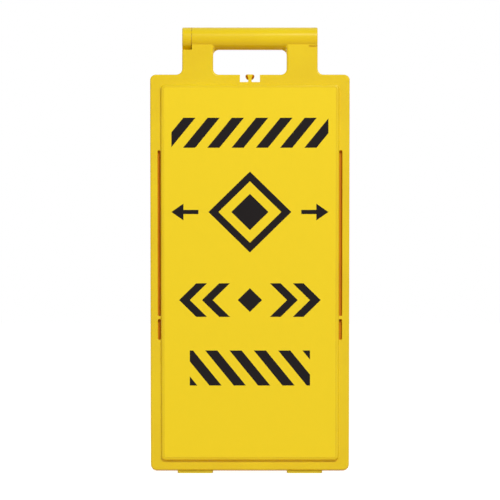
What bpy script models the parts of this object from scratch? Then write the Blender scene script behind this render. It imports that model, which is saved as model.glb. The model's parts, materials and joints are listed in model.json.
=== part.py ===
"""Folding floor sign stand: two identical moulded trays on one hinge rod, held apart by two stay arms.

Metres, +Z up. The stand is modelled open, on its feet, with the origin on the floor under the hinge.
Each panel is built lying in its own frame: x runs across it, z runs up it from the hinge axis, and
y points to its back, so a depth that stands out in front of the hinge axis is a negative y.
"""
from math import acos, asin, atan2, cos, degrees, pi, radians, sin, sqrt, tan

import bmesh
import bpy
from mathutils import Matrix, Vector

# Whole stand
SHOULDER_WIDTH = 0.280
SIDE_TAPER = 0.0017
LEAN = radians(12)
SHOULDER_DROP = 0.0535
PANEL_DROP = 0.6195
SHOULDER_RADIUS = 0.008
BASE_RADIUS = 0.009

# Moulding
WALL = 0.0025
RIM_DEPTH = 0.012
RAISE = 0.005
BACK_GAP = 0.0005
RIM_ROUND = 0.002
FIT_GAP = 0.0003

# Neck and grip opening
NECK_WIDTH = 0.190
NECK_FILLET = 0.0084
GRIP_WIDTH = 0.103
GRIP_RADIUS = 0.0084
GRIP_ROUND = 0.003
NOTCH_WIDTH = 0.028
NOTCH_DEPTH = 0.0111
GRIP_WEB_DEPTH = 0.0085

# Forked tab in the notch
TAB_STEM_WIDTH = 0.0045
TAB_HEAD_WIDTH = 0.0095
TAB_HEAD_HEIGHT = 0.0055
TAB_DISC_RADIUS = 0.0063
TAB_FRONT_THICKNESS = 0.004
TAB_SPINE_WIDTH = 0.0036

# Handle tube, which is the hinge
TUBE_RADIUS = 0.0161
TUBE_WALL = 0.0025
KNUCKLE_WIDTH = 0.012
KNUCKLE_GAP = 0.0015
KNUCKLE_ROOM = 0.0021
GROOVE_OFFSET = 0.0013
GROOVE_HEIGHT = 0.0027
GROOVE_DEPTH = 0.0024
WEB_THICKNESS = 0.003
WEB_COUNT = 4
ROD_RADIUS = 0.005
CAP_THICKNESS = 0.0025
CAP_HUB_WALL = 0.0025
CAP_HUB_LENGTH = 0.0045

# Raised sign face and its label
RIM_TOP = 0.0155
RIM_SIDE = 0.0147
RIM_BOTTOM = 0.0130
FACE_RADIUS = 0.0062
FACE_ROUND = 0.004
LABEL_THICKNESS = 0.0004
LABEL_MARGIN = 0.0006

# Ribs behind the raised face
RIB_THICKNESS = 0.002
RIB_HEIGHT = 0.006
CROSS_RIBS = 5
LONG_RIBS = 2

# Side slots in the rim: deep moulded grooves in front of the stay arms
SLOT_WIDTH = 0.0042
SLOT_OFFSET = 0.0002
SLOT_LEAD = 0.0073
SLOT_START = 0.0017
SLOT_TAIL = 0.0034
SLOT_RIB = 0.0048
SLOT_END_RADIUS = 0.0015
SLOT_WALL = 0.0020
SLOT_FLOOR = 0.0014

# Stay arms, their rivets, washers and tracks
ARM_PIVOT_DROP = 0.170
ARM_LENGTH = 0.260
ARM_THICKNESS = 0.004
ARM_HALF_WIDTH = 0.0050
ARM_CLEARANCE = 0.0006
PLATE_THICKNESS = 0.0028
RIVET_RADIUS = 0.0025
RIVET_HEAD_RADIUS = 0.0045
RIVET_HEAD = 0.0015
WASHER_RADIUS = 0.0052
WASHER_THICKNESS = 0.0008
TRACK_CLEARANCE = 0.0007
SKIRT_ROOM = 0.0010

# Feet
FOOT_INSET = 0.0621
FOOT_LENGTH = 0.0495
FOOT_TAPER = 0.0012
FOOT_DEPTH = 0.0085
FOOT_HEIGHT = 0.0030
STEM_RADIUS = 0.0030
STEM_HEAD_RADIUS = 0.0039
STEM_HEAD = 0.0022

# Fineness of round shapes
CORNER_STEPS = 5
EDGE_STEPS = 3
TUBE_SIDES = 48
BORE_SIDES = 32
WEB_STEPS = 10
PIN_SIDES = 16
OVERLAP = 0.001
MERGE_DISTANCE = 0.000002
FLAT_ANGLE = radians(0.2)

# Places worked out from the sizes above
FOOT_WIDTH = SHOULDER_WIDTH - 2 * SIDE_TAPER
GRIP_DROP = SHOULDER_DROP
FACE_DROP = SHOULDER_DROP + RIM_TOP
FACE_BOTTOM_DROP = PANEL_DROP - RIM_BOTTOM
FACE_DEPTH = RIM_DEPTH + RAISE
BORE_RADIUS = TUBE_RADIUS - TUBE_WALL
ROD_HOLE_RADIUS = ROD_RADIUS + FIT_GAP
TUBE_MEETS_NECK = sqrt(TUBE_RADIUS ** 2 - RIM_DEPTH ** 2)
KNUCKLE_X = NECK_WIDTH / 2 - KNUCKLE_WIDTH
HALF_TUBE_X = KNUCKLE_X - KNUCKLE_GAP
NECK_NOTCH_DROP = TUBE_RADIUS + KNUCKLE_ROOM
WEB_PITCH = 2 * (HALF_TUBE_X - 2 * WEB_THICKNESS) / (WEB_COUNT - 0.5)
PIVOT_OFFSET = ARM_PIVOT_DROP * sin(2 * LEAN)
TRACK_OPEN_DROP = ARM_PIVOT_DROP * cos(2 * LEAN) + sqrt(ARM_LENGTH ** 2 - PIVOT_OFFSET ** 2)
TRACK_CLOSED_DROP = ARM_PIVOT_DROP + ARM_LENGTH
ARM_SWING = atan2(TRACK_OPEN_DROP * sin(2 * LEAN), TRACK_OPEN_DROP * cos(2 * LEAN) - ARM_PIVOT_DROP)
TRACK_RADIUS = RIVET_RADIUS + TRACK_CLEARANCE
LONG_SLOT_TOP = ARM_PIVOT_DROP - SLOT_LEAD
SHORT_SLOT_TOP = TRACK_OPEN_DROP - SLOT_START
LONG_SLOT_BOTTOM = SHORT_SLOT_TOP - SLOT_RIB
SHORT_SLOT_BOTTOM = TRACK_CLOSED_DROP + SLOT_TAIL
SLOT_BACK = ARM_HALF_WIDTH + ARM_CLEARANCE
PLATE_REACH = SLOT_BACK - FIT_GAP
FOOT_CENTRE_DEPTH = (BACK_GAP + RIM_DEPTH - WALL) / 2
AXIS_HEIGHT = (PANEL_DROP + FOOT_HEIGHT) * cos(LEAN) - FOOT_CENTRE_DEPTH * sin(LEAN)


def clear_scene():
    for item in list(bpy.data.objects):
        bpy.data.objects.remove(item, do_unlink=True)


def plastic(name, color, roughness, metallic=0.0):
    material = bpy.data.materials.new(name)
    material.use_nodes = True
    shader = material.node_tree.nodes["Principled BSDF"]
    shader.inputs["Base Color"].default_value = (*color, 1.0)
    shader.inputs["Roughness"].default_value = roughness
    shader.inputs["Metallic"].default_value = metallic
    return material


def body_half_width(drop):
    """Half the panel's width at a distance down from the hinge axis."""
    share = (drop - SHOULDER_DROP) / (PANEL_DROP - SHOULDER_DROP)
    return (SHOULDER_WIDTH + (FOOT_WIDTH - SHOULDER_WIDTH) * share) / 2


def face_half_width(drop):
    """Half the raised face's width at a distance down from the hinge axis."""
    return body_half_width(drop) - RIM_SIDE


# The arms lie side by side with their plates, just inside the skirt beside the tracks
PLATE_X = body_half_width(TRACK_CLOSED_DROP) - WALL - SKIRT_ROOM - RIVET_HEAD - FIT_GAP - PLATE_THICKNESS
ARM_X = PLATE_X - FIT_GAP - ARM_THICKNESS


def points(*places):
    return [Vector(place) for place in places]


def rounded(corners, steps=CORNER_STEPS):
    """An outline through (across, down, radius) corners, with each corner drawn as an arc."""
    places = [Vector((across, down)) for across, down, radius in corners]
    outline = []
    for index, (across, down, radius) in enumerate(corners):
        here = places[index]
        if radius == 0:
            outline.append(here)
            continue
        to_last = (places[index - 1] - here).normalized()
        to_next = (places[(index + 1) % len(places)] - here).normalized()
        half = acos(max(-1.0, min(1.0, to_last.dot(to_next)))) / 2
        centre = here + (to_last + to_next).normalized() * radius / sin(half)
        first = here + to_last * radius / tan(half) - centre
        last = here + to_next * radius / tan(half) - centre
        turn = atan2(first.x * last.y - first.y * last.x, first.dot(last))
        for step in range(steps + 1):
            outline.append(centre + Matrix.Rotation(turn * step / steps, 2) @ first)
    return outline


def arc(radius, start, end, steps, centre=(0.0, 0.0)):
    """Points on an arc, angles in radians from the first axis towards the second."""
    angles = [start + (end - start) * step / steps for step in range(steps + 1)]
    return [Vector((centre[0] + radius * cos(angle), centre[1] + radius * sin(angle))) for angle in angles]


def grow(outline, distance):
    """The outline moved outwards by a distance, or inwards where it is negative."""
    area = sum(a.x * b.y - b.x * a.y for a, b in zip(outline, outline[1:] + outline[:1]))
    side = 1.0 if area > 0 else -1.0
    moved = []
    for index, here in enumerate(outline):
        before = (here - outline[index - 1]).normalized()
        after = (outline[(index + 1) % len(outline)] - here).normalized()
        normal_before = Vector((before.y, -before.x)) * side
        normal_after = Vector((after.y, -after.x)) * side
        middle = (normal_before + normal_after).normalized()
        moved.append(here + middle * distance / middle.dot(normal_before))
    return moved


def stack(name, levels, place):
    """A closed solid through outlines of equal length, each at its own level.

    place turns an outline's point and its level into a position.
    """
    mesh = bmesh.new()
    first_outline, first_level = levels[0]
    ring = [mesh.verts.new(place(point, first_level)) for point in first_outline]
    base = mesh.faces.new(ring)
    cap = base
    for outline, level in levels[1:]:
        grown = bmesh.ops.extrude_face_region(mesh, geom=[cap])["geom"]
        new_cap = next(item for item in grown if isinstance(item, bmesh.types.BMFace))
        if cap is not base:
            bmesh.ops.delete(mesh, geom=[cap], context="FACES_ONLY")
        for vert, point in zip(new_cap.verts, outline):
            vert.co = place(point, level)
        cap = new_cap
    bmesh.ops.recalc_face_normals(mesh, faces=mesh.faces)
    return new_object(name, mesh)


def new_object(name, mesh):
    data = bpy.data.meshes.new(name)
    mesh.to_mesh(data)
    mesh.free()
    item = bpy.data.objects.new(name, data)
    bpy.context.collection.objects.link(item)
    return item


def on_panel(point, depth):
    """Across and down the panel, at a depth in front of the hinge axis."""
    return Vector((point.x, -depth, -point.y))


def along_tube(point, across):
    """A section of the tube (depth, down) at a place across the panel."""
    return Vector((across, -point.x, -point.y))


def prism(name, outline, back, front, front_round=0.0):
    """An outline standing from a back depth to a front depth, its front edge rounded."""
    levels = [(outline, back), (outline, front - front_round)]
    if front_round > 0:
        for step in range(1, EDGE_STEPS + 1):
            angle = pi / 2 * step / EDGE_STEPS
            inset = front_round * (1 - cos(angle))
            levels.append((grow(outline, -inset), front - front_round + front_round * sin(angle)))
    return stack(name, levels, on_panel)


def bar(name, section, left, right):
    """A (depth, down) section drawn out across the panel."""
    return stack(name, [(section, left), (section, right)], along_tube)


def box(name, left, right, top, bottom, back, front):
    outline = points((left, top), (right, top), (right, bottom), (left, bottom))
    return prism(name, outline, back, front)


def circle(radius, sides, depth=0.0, down=0.0):
    return arc(radius, 0, 2 * pi * (sides - 1) / sides, sides - 1, (depth, down))


def combine(base, steps):
    """Runs exact unions and cuts on a solid, and removes the solids that it used up."""
    for operation, other in steps:
        modifier = base.modifiers.new(other.name, "BOOLEAN")
        modifier.operation = operation
        modifier.solver = "EXACT"
        modifier.object = other
        graph = bpy.context.evaluated_depsgraph_get()
        result = bpy.data.meshes.new_from_object(base.evaluated_get(graph))
        base.modifiers.clear()
        base.data = result
        bpy.data.objects.remove(other, do_unlink=True)
    mesh = bmesh.new()
    mesh.from_mesh(base.data)
    bmesh.ops.remove_doubles(mesh, verts=mesh.verts, dist=MERGE_DISTANCE)
    bmesh.ops.dissolve_limit(mesh, angle_limit=FLAT_ANGLE, verts=mesh.verts, edges=mesh.edges)
    bmesh.ops.triangulate(mesh, faces=mesh.faces)
    mesh.to_mesh(base.data)
    mesh.free()
    return base


def body_outline():
    neck = NECK_WIDTH / 2
    shoulder = SHOULDER_WIDTH / 2
    base = FOOT_WIDTH / 2
    inside_tube = 2 * OVERLAP
    right = [
        (neck, inside_tube, 0),
        (neck, SHOULDER_DROP, NECK_FILLET),
        (shoulder, SHOULDER_DROP, SHOULDER_RADIUS),
        (base, PANEL_DROP, BASE_RADIUS),
    ]
    left = [(-across, down, radius) for across, down, radius in reversed(right)]
    return rounded(right + left)


def rim_cavity_outline():
    """The hollow behind the rim: a wall inside the outline, and a wall clear of the grip opening."""
    neck = NECK_WIDTH / 2 - WALL
    grip = GRIP_WIDTH / 2 + WALL
    notch = NOTCH_WIDTH / 2 + WALL
    top = NECK_NOTCH_DROP + WALL
    shoulder = SHOULDER_DROP + WALL
    bottom = PANEL_DROP - WALL
    right = [
        (notch, GRIP_DROP + NOTCH_DEPTH + WALL, 0),
        (notch, GRIP_DROP + WALL, 0),
        (grip, GRIP_DROP + WALL, GRIP_RADIUS + WALL),
        (grip, top, 0),
        (neck, top, 0),
        (neck, shoulder, NECK_FILLET + WALL),
        (body_half_width(shoulder) - WALL, shoulder, SHOULDER_RADIUS - WALL),
        (body_half_width(bottom) - WALL, bottom, BASE_RADIUS - WALL),
    ]
    left = [(-across, down, radius) for across, down, radius in reversed(right)]
    return rounded(right + left)


def face_outline():
    top = face_half_width(FACE_DROP)
    bottom = face_half_width(FACE_BOTTOM_DROP)
    return rounded([
        (top, FACE_DROP, FACE_RADIUS),
        (bottom, FACE_BOTTOM_DROP, FACE_RADIUS),
        (-bottom, FACE_BOTTOM_DROP, FACE_RADIUS),
        (-top, FACE_DROP, FACE_RADIUS),
    ])


def label_outline():
    return grow(face_outline(), -(FACE_ROUND + LABEL_MARGIN))


def grip_cutter():
    """The grip opening, with its front edge rounded over."""
    half = GRIP_WIDTH / 2
    top = TUBE_MEETS_NECK - OVERLAP
    outline = rounded([
        (half, top, 0),
        (half, GRIP_DROP, GRIP_RADIUS),
        (-half, GRIP_DROP, GRIP_RADIUS),
        (-half, top, 0),
    ])
    levels = [(outline, -OVERLAP), (outline, RIM_DEPTH - GRIP_ROUND)]
    for step in range(1, EDGE_STEPS + 1):
        angle = pi / 2 * step / EDGE_STEPS
        out = GRIP_ROUND * (1 - cos(angle))
        levels.append((grow(outline, out), RIM_DEPTH - GRIP_ROUND + GRIP_ROUND * sin(angle)))
    levels.append((grow(outline, GRIP_ROUND), RIM_DEPTH + OVERLAP))
    return stack("grip_cutter", levels, on_panel)


def notch_cutter():
    half = NOTCH_WIDTH / 2
    return box("notch_cutter", -half, half, GRIP_DROP - GRIP_ROUND - OVERLAP, GRIP_DROP + NOTCH_DEPTH,
               -OVERLAP, RIM_DEPTH + OVERLAP)


def grip_web(side):
    """The web in an upper corner of the grip opening, under the tube."""
    half = GRIP_WIDTH / 2
    centre = (half - GRIP_RADIUS, TUBE_RADIUS + GRIP_RADIUS)
    inner = arc(GRIP_RADIUS, -pi / 2, 0, CORNER_STEPS, centre)
    root = half + GRIP_ROUND
    top = BORE_RADIUS + TUBE_WALL / 2
    right = inner + points((root, TUBE_RADIUS + GRIP_RADIUS), (root, top), (centre[0], top))
    outline = [Vector((side * point.x, point.y)) for point in right]
    return prism("grip_web", outline, BACK_GAP, GRIP_WEB_DEPTH)


def tube_arc():
    """The front half's outer arc, from the open underside up to the edge that meets the other half."""
    start = pi / 2 - asin(BACK_GAP / TUBE_RADIUS)
    stop = LEAN - pi / 2 + asin(FIT_GAP / 2 / TUBE_RADIUS)
    front = arc(TUBE_RADIUS, start, stop, TUBE_SIDES // 2)
    back = arc(TUBE_RADIUS, stop, start - 2 * pi, TUBE_SIDES // 2)
    return front, back


def tube_half(left, right):
    """The front half of the handle tube, whose top edge meets the other half's when the stand is open."""
    return bar("tube_half", [Vector((0.0, 0.0))] + tube_arc()[0], left, right)


def knuckle(left, right):
    """The closed end of the tube, whose front half continues the tube's own facets."""
    front, back = tube_arc()
    return bar("knuckle", front + back[1:-1], left, right)


def web(centre):
    """A full disc inside the tube, fused to the front half and running clear of the other panel's half."""
    own = BORE_RADIUS + TUBE_WALL / 2
    free = BORE_RADIUS - FIT_GAP
    reach = pi / 2 - 1.5 * LEAN
    section = arc(own, reach, -reach, WEB_STEPS) + arc(free, -reach, reach - 2 * pi, WEB_STEPS)
    return bar("web", section, centre - WEB_THICKNESS / 2, centre + WEB_THICKNESS / 2)


def web_places():
    first = (WEB_COUNT - 1.5) * WEB_PITCH / 2
    return [first - WEB_PITCH * index for index in range(WEB_COUNT)]


def slot_outline(side, top, bottom):
    """A narrow slot along the foot of the raised face."""
    corners = []
    for drop, lies_out in ((top, 0), (top, 1), (bottom, 1), (bottom, 0)):
        across = face_half_width(drop) + SLOT_OFFSET + SLOT_WIDTH * lies_out
        corners.append((side * across, drop, SLOT_END_RADIUS))
    return rounded(corners, EDGE_STEPS)


def slot_block(side):
    """The walls and floor round both slots of one side, behind the rim."""
    outline = grow(slot_outline(side, LONG_SLOT_TOP, SHORT_SLOT_BOTTOM), SLOT_WALL)
    return prism("slot_block", outline, SLOT_BACK, RIM_DEPTH - WALL / 2)


def slot_cutter(side, top, bottom):
    outline = slot_outline(side, top, bottom)
    return prism("slot_cutter", outline, SLOT_BACK + SLOT_FLOOR, RIM_DEPTH + OVERLAP)


def ear():
    """The plate inside the left side that holds the stay arm's pivot rivet."""
    root = RIM_DEPTH - WALL / 2
    tip = arc(PLATE_REACH, pi / 2, 3 * pi / 2, 2 * CORNER_STEPS, (0.0, ARM_PIVOT_DROP))
    section = tip + points((root, ARM_PIVOT_DROP - PLATE_REACH), (root, ARM_PIVOT_DROP + PLATE_REACH))
    return bar("ear", section, -(PLATE_X + PLATE_THICKNESS), -PLATE_X)


def track_section(radius, top, bottom):
    upper = arc(radius, pi, 2 * pi, 2 * CORNER_STEPS, (0.0, top))
    lower = arc(radius, 0, pi, 2 * CORNER_STEPS, (0.0, bottom))
    return upper + lower


def track():
    """The plate inside the right side in which the other arm's slide rivet runs."""
    root = RIM_DEPTH - WALL / 2
    top = TRACK_OPEN_DROP
    bottom = TRACK_CLOSED_DROP
    upper = arc(PLATE_REACH, 3 * pi / 2, pi, CORNER_STEPS, (0.0, top))
    lower = arc(PLATE_REACH, pi, pi / 2, CORNER_STEPS, (0.0, bottom))
    section = upper + lower + points((root, bottom + PLATE_REACH), (root, top - PLATE_REACH))
    return bar("track", section, PLATE_X, PLATE_X + PLATE_THICKNESS)


def track_cutter():
    section = track_section(TRACK_RADIUS, TRACK_OPEN_DROP, TRACK_CLOSED_DROP)
    return bar("track_cutter", section, PLATE_X - OVERLAP, PLATE_X + PLATE_THICKNESS + OVERLAP)


def ribs():
    """Cross ribs and long ribs on the back of the raised face."""
    back = FACE_DEPTH - WALL - RIB_HEIGHT
    front = FACE_DEPTH - WALL / 2
    half = RIB_THICKNESS / 2
    solids = []
    pitch = (FACE_BOTTOM_DROP - FACE_DROP) / (CROSS_RIBS + 1)
    for index in range(CROSS_RIBS):
        down = FACE_DROP + pitch * (index + 1)
        side = face_half_width(down) - WALL / 2
        solids.append(box("cross_rib", -side, side, down - half, down + half, back, front))
    for index in range(LONG_RIBS):
        across = 2 * face_half_width(FACE_BOTTOM_DROP) * ((index + 1) / (LONG_RIBS + 1) - 0.5)
        top = FACE_DROP + WALL / 2
        bottom = FACE_BOTTOM_DROP - WALL / 2
        solids.append(box("long_rib", across - half, across + half, top, bottom, back, front))
    return solids


def tab():
    """The forked tab: a narrow stem, a V-shaped head in front and a half disc behind it."""
    root = GRIP_DROP + NOTCH_DEPTH + WALL / 2
    top = GRIP_DROP
    stem = TAB_STEM_WIDTH / 2
    head = TAB_HEAD_WIDTH / 2
    neck = top + TAB_HEAD_HEIGHT
    outline = points((-head, top), (head, top), (stem, neck), (stem, root), (-stem, root), (-stem, neck))
    front = prism("tab_front", outline, RIM_DEPTH - TAB_FRONT_THICKNESS, RIM_DEPTH)
    behind = BACK_GAP + WALL
    joined = RIM_DEPTH - TAB_FRONT_THICKNESS + OVERLAP / 2
    disc = arc(TAB_DISC_RADIUS, 0, pi, 2 * CORNER_STEPS, (0.0, top))
    back = prism("tab_back", disc, behind, joined)
    half_spine = TAB_SPINE_WIDTH / 2
    spine = box("tab_spine", -half_spine, half_spine, top + TAB_DISC_RADIUS / 2, root,
                behind + OVERLAP / 2, joined - OVERLAP / 4)
    return [back, spine, front]


def foot_place(side):
    return side * (FOOT_WIDTH / 2 - FOOT_INSET)


def foot_hole(side):
    sides = PIN_SIDES
    outline = [Vector((foot_place(side) + point.x, FOOT_CENTRE_DEPTH + point.y))
               for point in circle(STEM_RADIUS + FIT_GAP, sides)]
    levels = [(outline, PANEL_DROP - WALL - OVERLAP), (outline, PANEL_DROP + OVERLAP)]
    return stack("foot_hole", levels, down_panel)


def down_panel(point, down):
    """Across and depth, at a distance down the panel."""
    return Vector((point.x, -point.y, -down))


def panel_mesh():
    """One moulded panel, which serves as the front and, turned round, as the rear."""
    body = prism("panel", body_outline(), BACK_GAP, RIM_DEPTH, RIM_ROUND)
    tube_right = NECK_WIDTH / 2
    beyond = NECK_WIDTH / 2 + 2 * OVERLAP
    bore = bar("bore", circle(BORE_RADIUS, BORE_SIDES), -beyond, beyond)
    face = prism("face", face_outline(), RIM_DEPTH - WALL / 2, FACE_DEPTH, FACE_ROUND)
    knuckle_room = box("knuckle_room", -beyond, -HALF_TUBE_X, -2 * TUBE_RADIUS, NECK_NOTCH_DROP,
                       -2 * TUBE_RADIUS, 2 * TUBE_RADIUS)
    groove_top = TUBE_MEETS_NECK + GROOVE_OFFSET
    groove = box("groove", KNUCKLE_X, beyond, groove_top, groove_top + GROOVE_HEIGHT,
                 RIM_DEPTH - GROOVE_DEPTH, FACE_DEPTH)
    rim_cavity = prism("rim_cavity", rim_cavity_outline(), -OVERLAP, RIM_DEPTH - WALL)
    face_cavity = prism("face_cavity", grow(face_outline(), -WALL), RIM_DEPTH - 2 * WALL, FACE_DEPTH - WALL)
    label_seat = prism("label_seat", grow(label_outline(), FIT_GAP),
                       FACE_DEPTH - LABEL_THICKNESS - FIT_GAP, FACE_DEPTH + OVERLAP)
    steps = [
        ("DIFFERENCE", grip_cutter()),
        ("DIFFERENCE", notch_cutter()),
        ("DIFFERENCE", knuckle_room),
        ("UNION", tube_half(-HALF_TUBE_X, tube_right)),
        ("UNION", grip_web(1)),
        ("UNION", grip_web(-1)),
        ("UNION", knuckle(KNUCKLE_X, tube_right)),
        ("UNION", face),
        ("DIFFERENCE", bore),
        ("DIFFERENCE", groove),
        ("DIFFERENCE", rim_cavity),
        ("DIFFERENCE", face_cavity),
        ("DIFFERENCE", label_seat),
    ]
    steps += [("UNION", solid) for solid in ribs() + tab()]
    steps += [("UNION", ear()), ("UNION", track()), ("DIFFERENCE", track_cutter())]
    for side in (-1, 1):
        steps.append(("UNION", slot_block(side)))
        steps.append(("DIFFERENCE", slot_cutter(side, LONG_SLOT_TOP, LONG_SLOT_BOTTOM)))
        steps.append(("DIFFERENCE", slot_cutter(side, SHORT_SLOT_TOP, SHORT_SLOT_BOTTOM)))
        steps.append(("DIFFERENCE", foot_hole(side)))
    steps += [("UNION", web(place)) for place in web_places()]
    steps.append(("UNION", web(KNUCKLE_X + WEB_THICKNESS / 2)))
    rod_hole = bar("rod_hole", circle(ROD_HOLE_RADIUS, PIN_SIDES), -beyond, beyond)
    steps.append(("DIFFERENCE", rod_hole))
    rivet_hole = bar("rivet_hole", circle(RIVET_RADIUS + FIT_GAP, PIN_SIDES, 0.0, ARM_PIVOT_DROP),
                     -(PLATE_X + PLATE_THICKNESS + OVERLAP), -(PLATE_X - OVERLAP))
    steps.append(("DIFFERENCE", rivet_hole))
    return finish(combine(body, steps))


def finish(item, sharp=35):
    """Takes a finished solid's mesh, smooths its round faces and removes the working object."""
    mesh = item.data
    bpy.data.objects.remove(item, do_unlink=True)
    mesh.shade_smooth()
    mesh.set_sharp_from_angle(angle=radians(sharp))
    return mesh


def label_mesh():
    return finish(prism("label", label_outline(), FACE_DEPTH - LABEL_THICKNESS, FACE_DEPTH))


def rod_mesh():
    half = NECK_WIDTH / 2 - CAP_THICKNESS - FIT_GAP
    return finish(bar("rod", circle(ROD_RADIUS, PIN_SIDES), -half, half))


def cap_mesh():
    """The plug in a knuckle's end, with a hub round the rod's end."""
    outer = NECK_WIDTH / 2
    inner = outer - CAP_THICKNESS
    plug = bar("cap", circle(BORE_RADIUS - FIT_GAP, BORE_SIDES), inner, outer)
    hub_end = inner - CAP_HUB_LENGTH
    hub = bar("hub", circle(ROD_HOLE_RADIUS + CAP_HUB_WALL, PIN_SIDES), hub_end, inner + OVERLAP)
    socket = bar("socket", circle(ROD_HOLE_RADIUS, PIN_SIDES), hub_end - OVERLAP, inner)
    return finish(combine(plug, [("UNION", hub), ("DIFFERENCE", socket)]))


def arm_mesh():
    """A flat bar with round ends, from the pivot rivet at its origin to the slide rivet."""
    ends = track_section(ARM_HALF_WIDTH, 0.0, ARM_LENGTH)
    arm = bar("arm", ends, -(ARM_X + ARM_THICKNESS), -ARM_X)
    steps = []
    for down in (0.0, ARM_LENGTH):
        hole = bar("arm_hole", circle(RIVET_RADIUS + FIT_GAP, PIN_SIDES, 0.0, down),
                   -(ARM_X + ARM_THICKNESS + OVERLAP), -(ARM_X - OVERLAP))
        steps.append(("DIFFERENCE", hole))
    return finish(combine(arm, steps))


def rivet_mesh():
    """A rivet through a washer, an arm and its plate, with a head on each side."""
    inner = FIT_GAP + WASHER_THICKNESS + FIT_GAP - ARM_X
    outer = -(PLATE_X + PLATE_THICKNESS + FIT_GAP)
    shank = bar("rivet", circle(RIVET_RADIUS, PIN_SIDES), outer - RIVET_HEAD / 2, inner + RIVET_HEAD / 2)
    head = circle(RIVET_HEAD_RADIUS, PIN_SIDES)
    steps = [
        ("UNION", bar("outer_head", head, outer - RIVET_HEAD, outer)),
        ("UNION", bar("inner_head", head, inner, inner + RIVET_HEAD)),
    ]
    return finish(combine(shank, steps))


def washer_mesh():
    """The washer between an arm and a rivet's inner head."""
    left = FIT_GAP - ARM_X
    washer = bar("washer", circle(WASHER_RADIUS, PIN_SIDES), left, left + WASHER_THICKNESS)
    hole = bar("washer_hole", circle(RIVET_RADIUS + FIT_GAP, PIN_SIDES),
               left - OVERLAP, left + WASHER_THICKNESS + OVERLAP)
    return finish(combine(washer, [("DIFFERENCE", hole)]))


def foot_mesh():
    """A pad whose sole is level when the stand is open, with a stem that snaps through the base wall."""
    top = PANEL_DROP + FIT_GAP
    half = FOOT_LENGTH / 2
    back = FOOT_CENTRE_DEPTH - FOOT_DEPTH / 2
    front = FOOT_CENTRE_DEPTH + FOOT_DEPTH / 2

    def sole(depth):
        return (AXIS_HEIGHT + depth * sin(LEAN)) / cos(LEAN)

    section = points((back, top), (front, top), (front, sole(front)), (back, sole(back)))
    pad = bar("foot", section, -half, half)
    for vert in pad.data.vertices:
        if -vert.co.z > top + FIT_GAP:
            vert.co.x -= FOOT_TAPER if vert.co.x > 0 else -FOOT_TAPER
    stem = [Vector((point.x, FOOT_CENTRE_DEPTH + point.y)) for point in circle(STEM_RADIUS, PIN_SIDES)]
    head = [Vector((point.x, FOOT_CENTRE_DEPTH + point.y)) for point in circle(STEM_HEAD_RADIUS, PIN_SIDES)]
    seat = PANEL_DROP - WALL - FIT_GAP
    steps = [
        ("UNION", stack("stem", [(stem, seat - STEM_HEAD / 2), (stem, top + OVERLAP)], down_panel)),
        ("UNION", stack("stem_head", [(head, seat - STEM_HEAD), (head, seat)], down_panel)),
    ]
    return finish(combine(pad, steps))


def frame(name, parent, place, turn):
    """An empty that carries the pieces of one moving part."""
    carrier = bpy.data.objects.new(name, None)
    bpy.context.collection.objects.link(carrier)
    carrier.parent = parent
    carrier.location = place
    carrier.rotation_euler = turn
    return carrier


def piece(name, mesh, parent, material, place=(0.0, 0.0, 0.0)):
    item = bpy.data.objects.new(name, mesh)
    bpy.context.collection.objects.link(item)
    item.parent = parent
    item.location = place
    if not mesh.materials:
        mesh.materials.append(material)
    return item


def build():
    clear_scene()
    yellow = plastic("moulded yellow polyethylene", (0.80, 0.55, 0.03), 0.5)
    label_yellow = plastic("yellow vinyl label", (0.89, 0.65, 0.023), 0.4)
    foot_yellow = plastic("dark yellow pad", (0.55, 0.39, 0.015), 0.7)
    steel = plastic("zinc plated steel", (0.6, 0.6, 0.58), 0.35, 1.0)

    panel = panel_mesh()
    label = label_mesh()
    cap = cap_mesh()
    arm = arm_mesh()
    rivet = rivet_mesh()
    washer = washer_mesh()
    foot = foot_mesh()

    front = frame("front_leaf", None, (0.0, 0.0, AXIS_HEIGHT), (-LEAN, 0.0, 0.0))
    rear = frame("rear_leaf", None, (0.0, 0.0, AXIS_HEIGHT), (-LEAN, 0.0, pi))
    for side, leaf in (("front", front), ("rear", rear)):
        piece(side + "_panel", panel, leaf, yellow)
        piece(side + "_label", label, leaf, label_yellow)
        for hand, sign in (("left", -1), ("right", 1)):
            piece(side + "_" + hand + "_foot", foot, leaf, foot_yellow, (foot_place(sign), 0.0, 0.0))
    piece("hinge_rod", rod_mesh(), front, steel)
    piece("rod_cap_right", cap, front, yellow)
    piece("rod_cap_left", cap, rear, yellow)
    for hand, leaf in (("left", front), ("right", rear)):
        pivot = frame(hand + "_arm_axis", leaf, (0.0, 0.0, -ARM_PIVOT_DROP), (ARM_SWING, 0.0, 0.0))
        piece(hand + "_arm", arm, pivot, yellow)
        for end, down in (("_pivot", 0.0), ("_slide", ARM_LENGTH)):
            piece(hand + end + "_rivet", rivet, pivot, steel, (0.0, 0.0, -down))
            piece(hand + end + "_washer", washer, pivot, steel, (0.0, 0.0, -down))

    print("hinge axis height", round(AXIS_HEIGHT, 5))
    print("arm swing from the panel, degrees", round(degrees(ARM_SWING), 3))


build()
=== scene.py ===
# %% [markdown]
# # A folding floor sign stand
#
# The stand is two identical moulded trays that share one hinge tube, which is also the carrying handle.
# Two stay arms inside the rims hold the trays apart, and a printed sheet lies on each raised face.
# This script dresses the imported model: every piece keeps its place and its size. It gets the rounded edges
# and the grain of the real one, and the sheets get a plain printed design.

# %% Load the frame
import json
from math import asin, cos, degrees, pi, radians, sin, sqrt, tan

import bmesh
import bpy
from mathutils import Matrix, Vector

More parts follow.
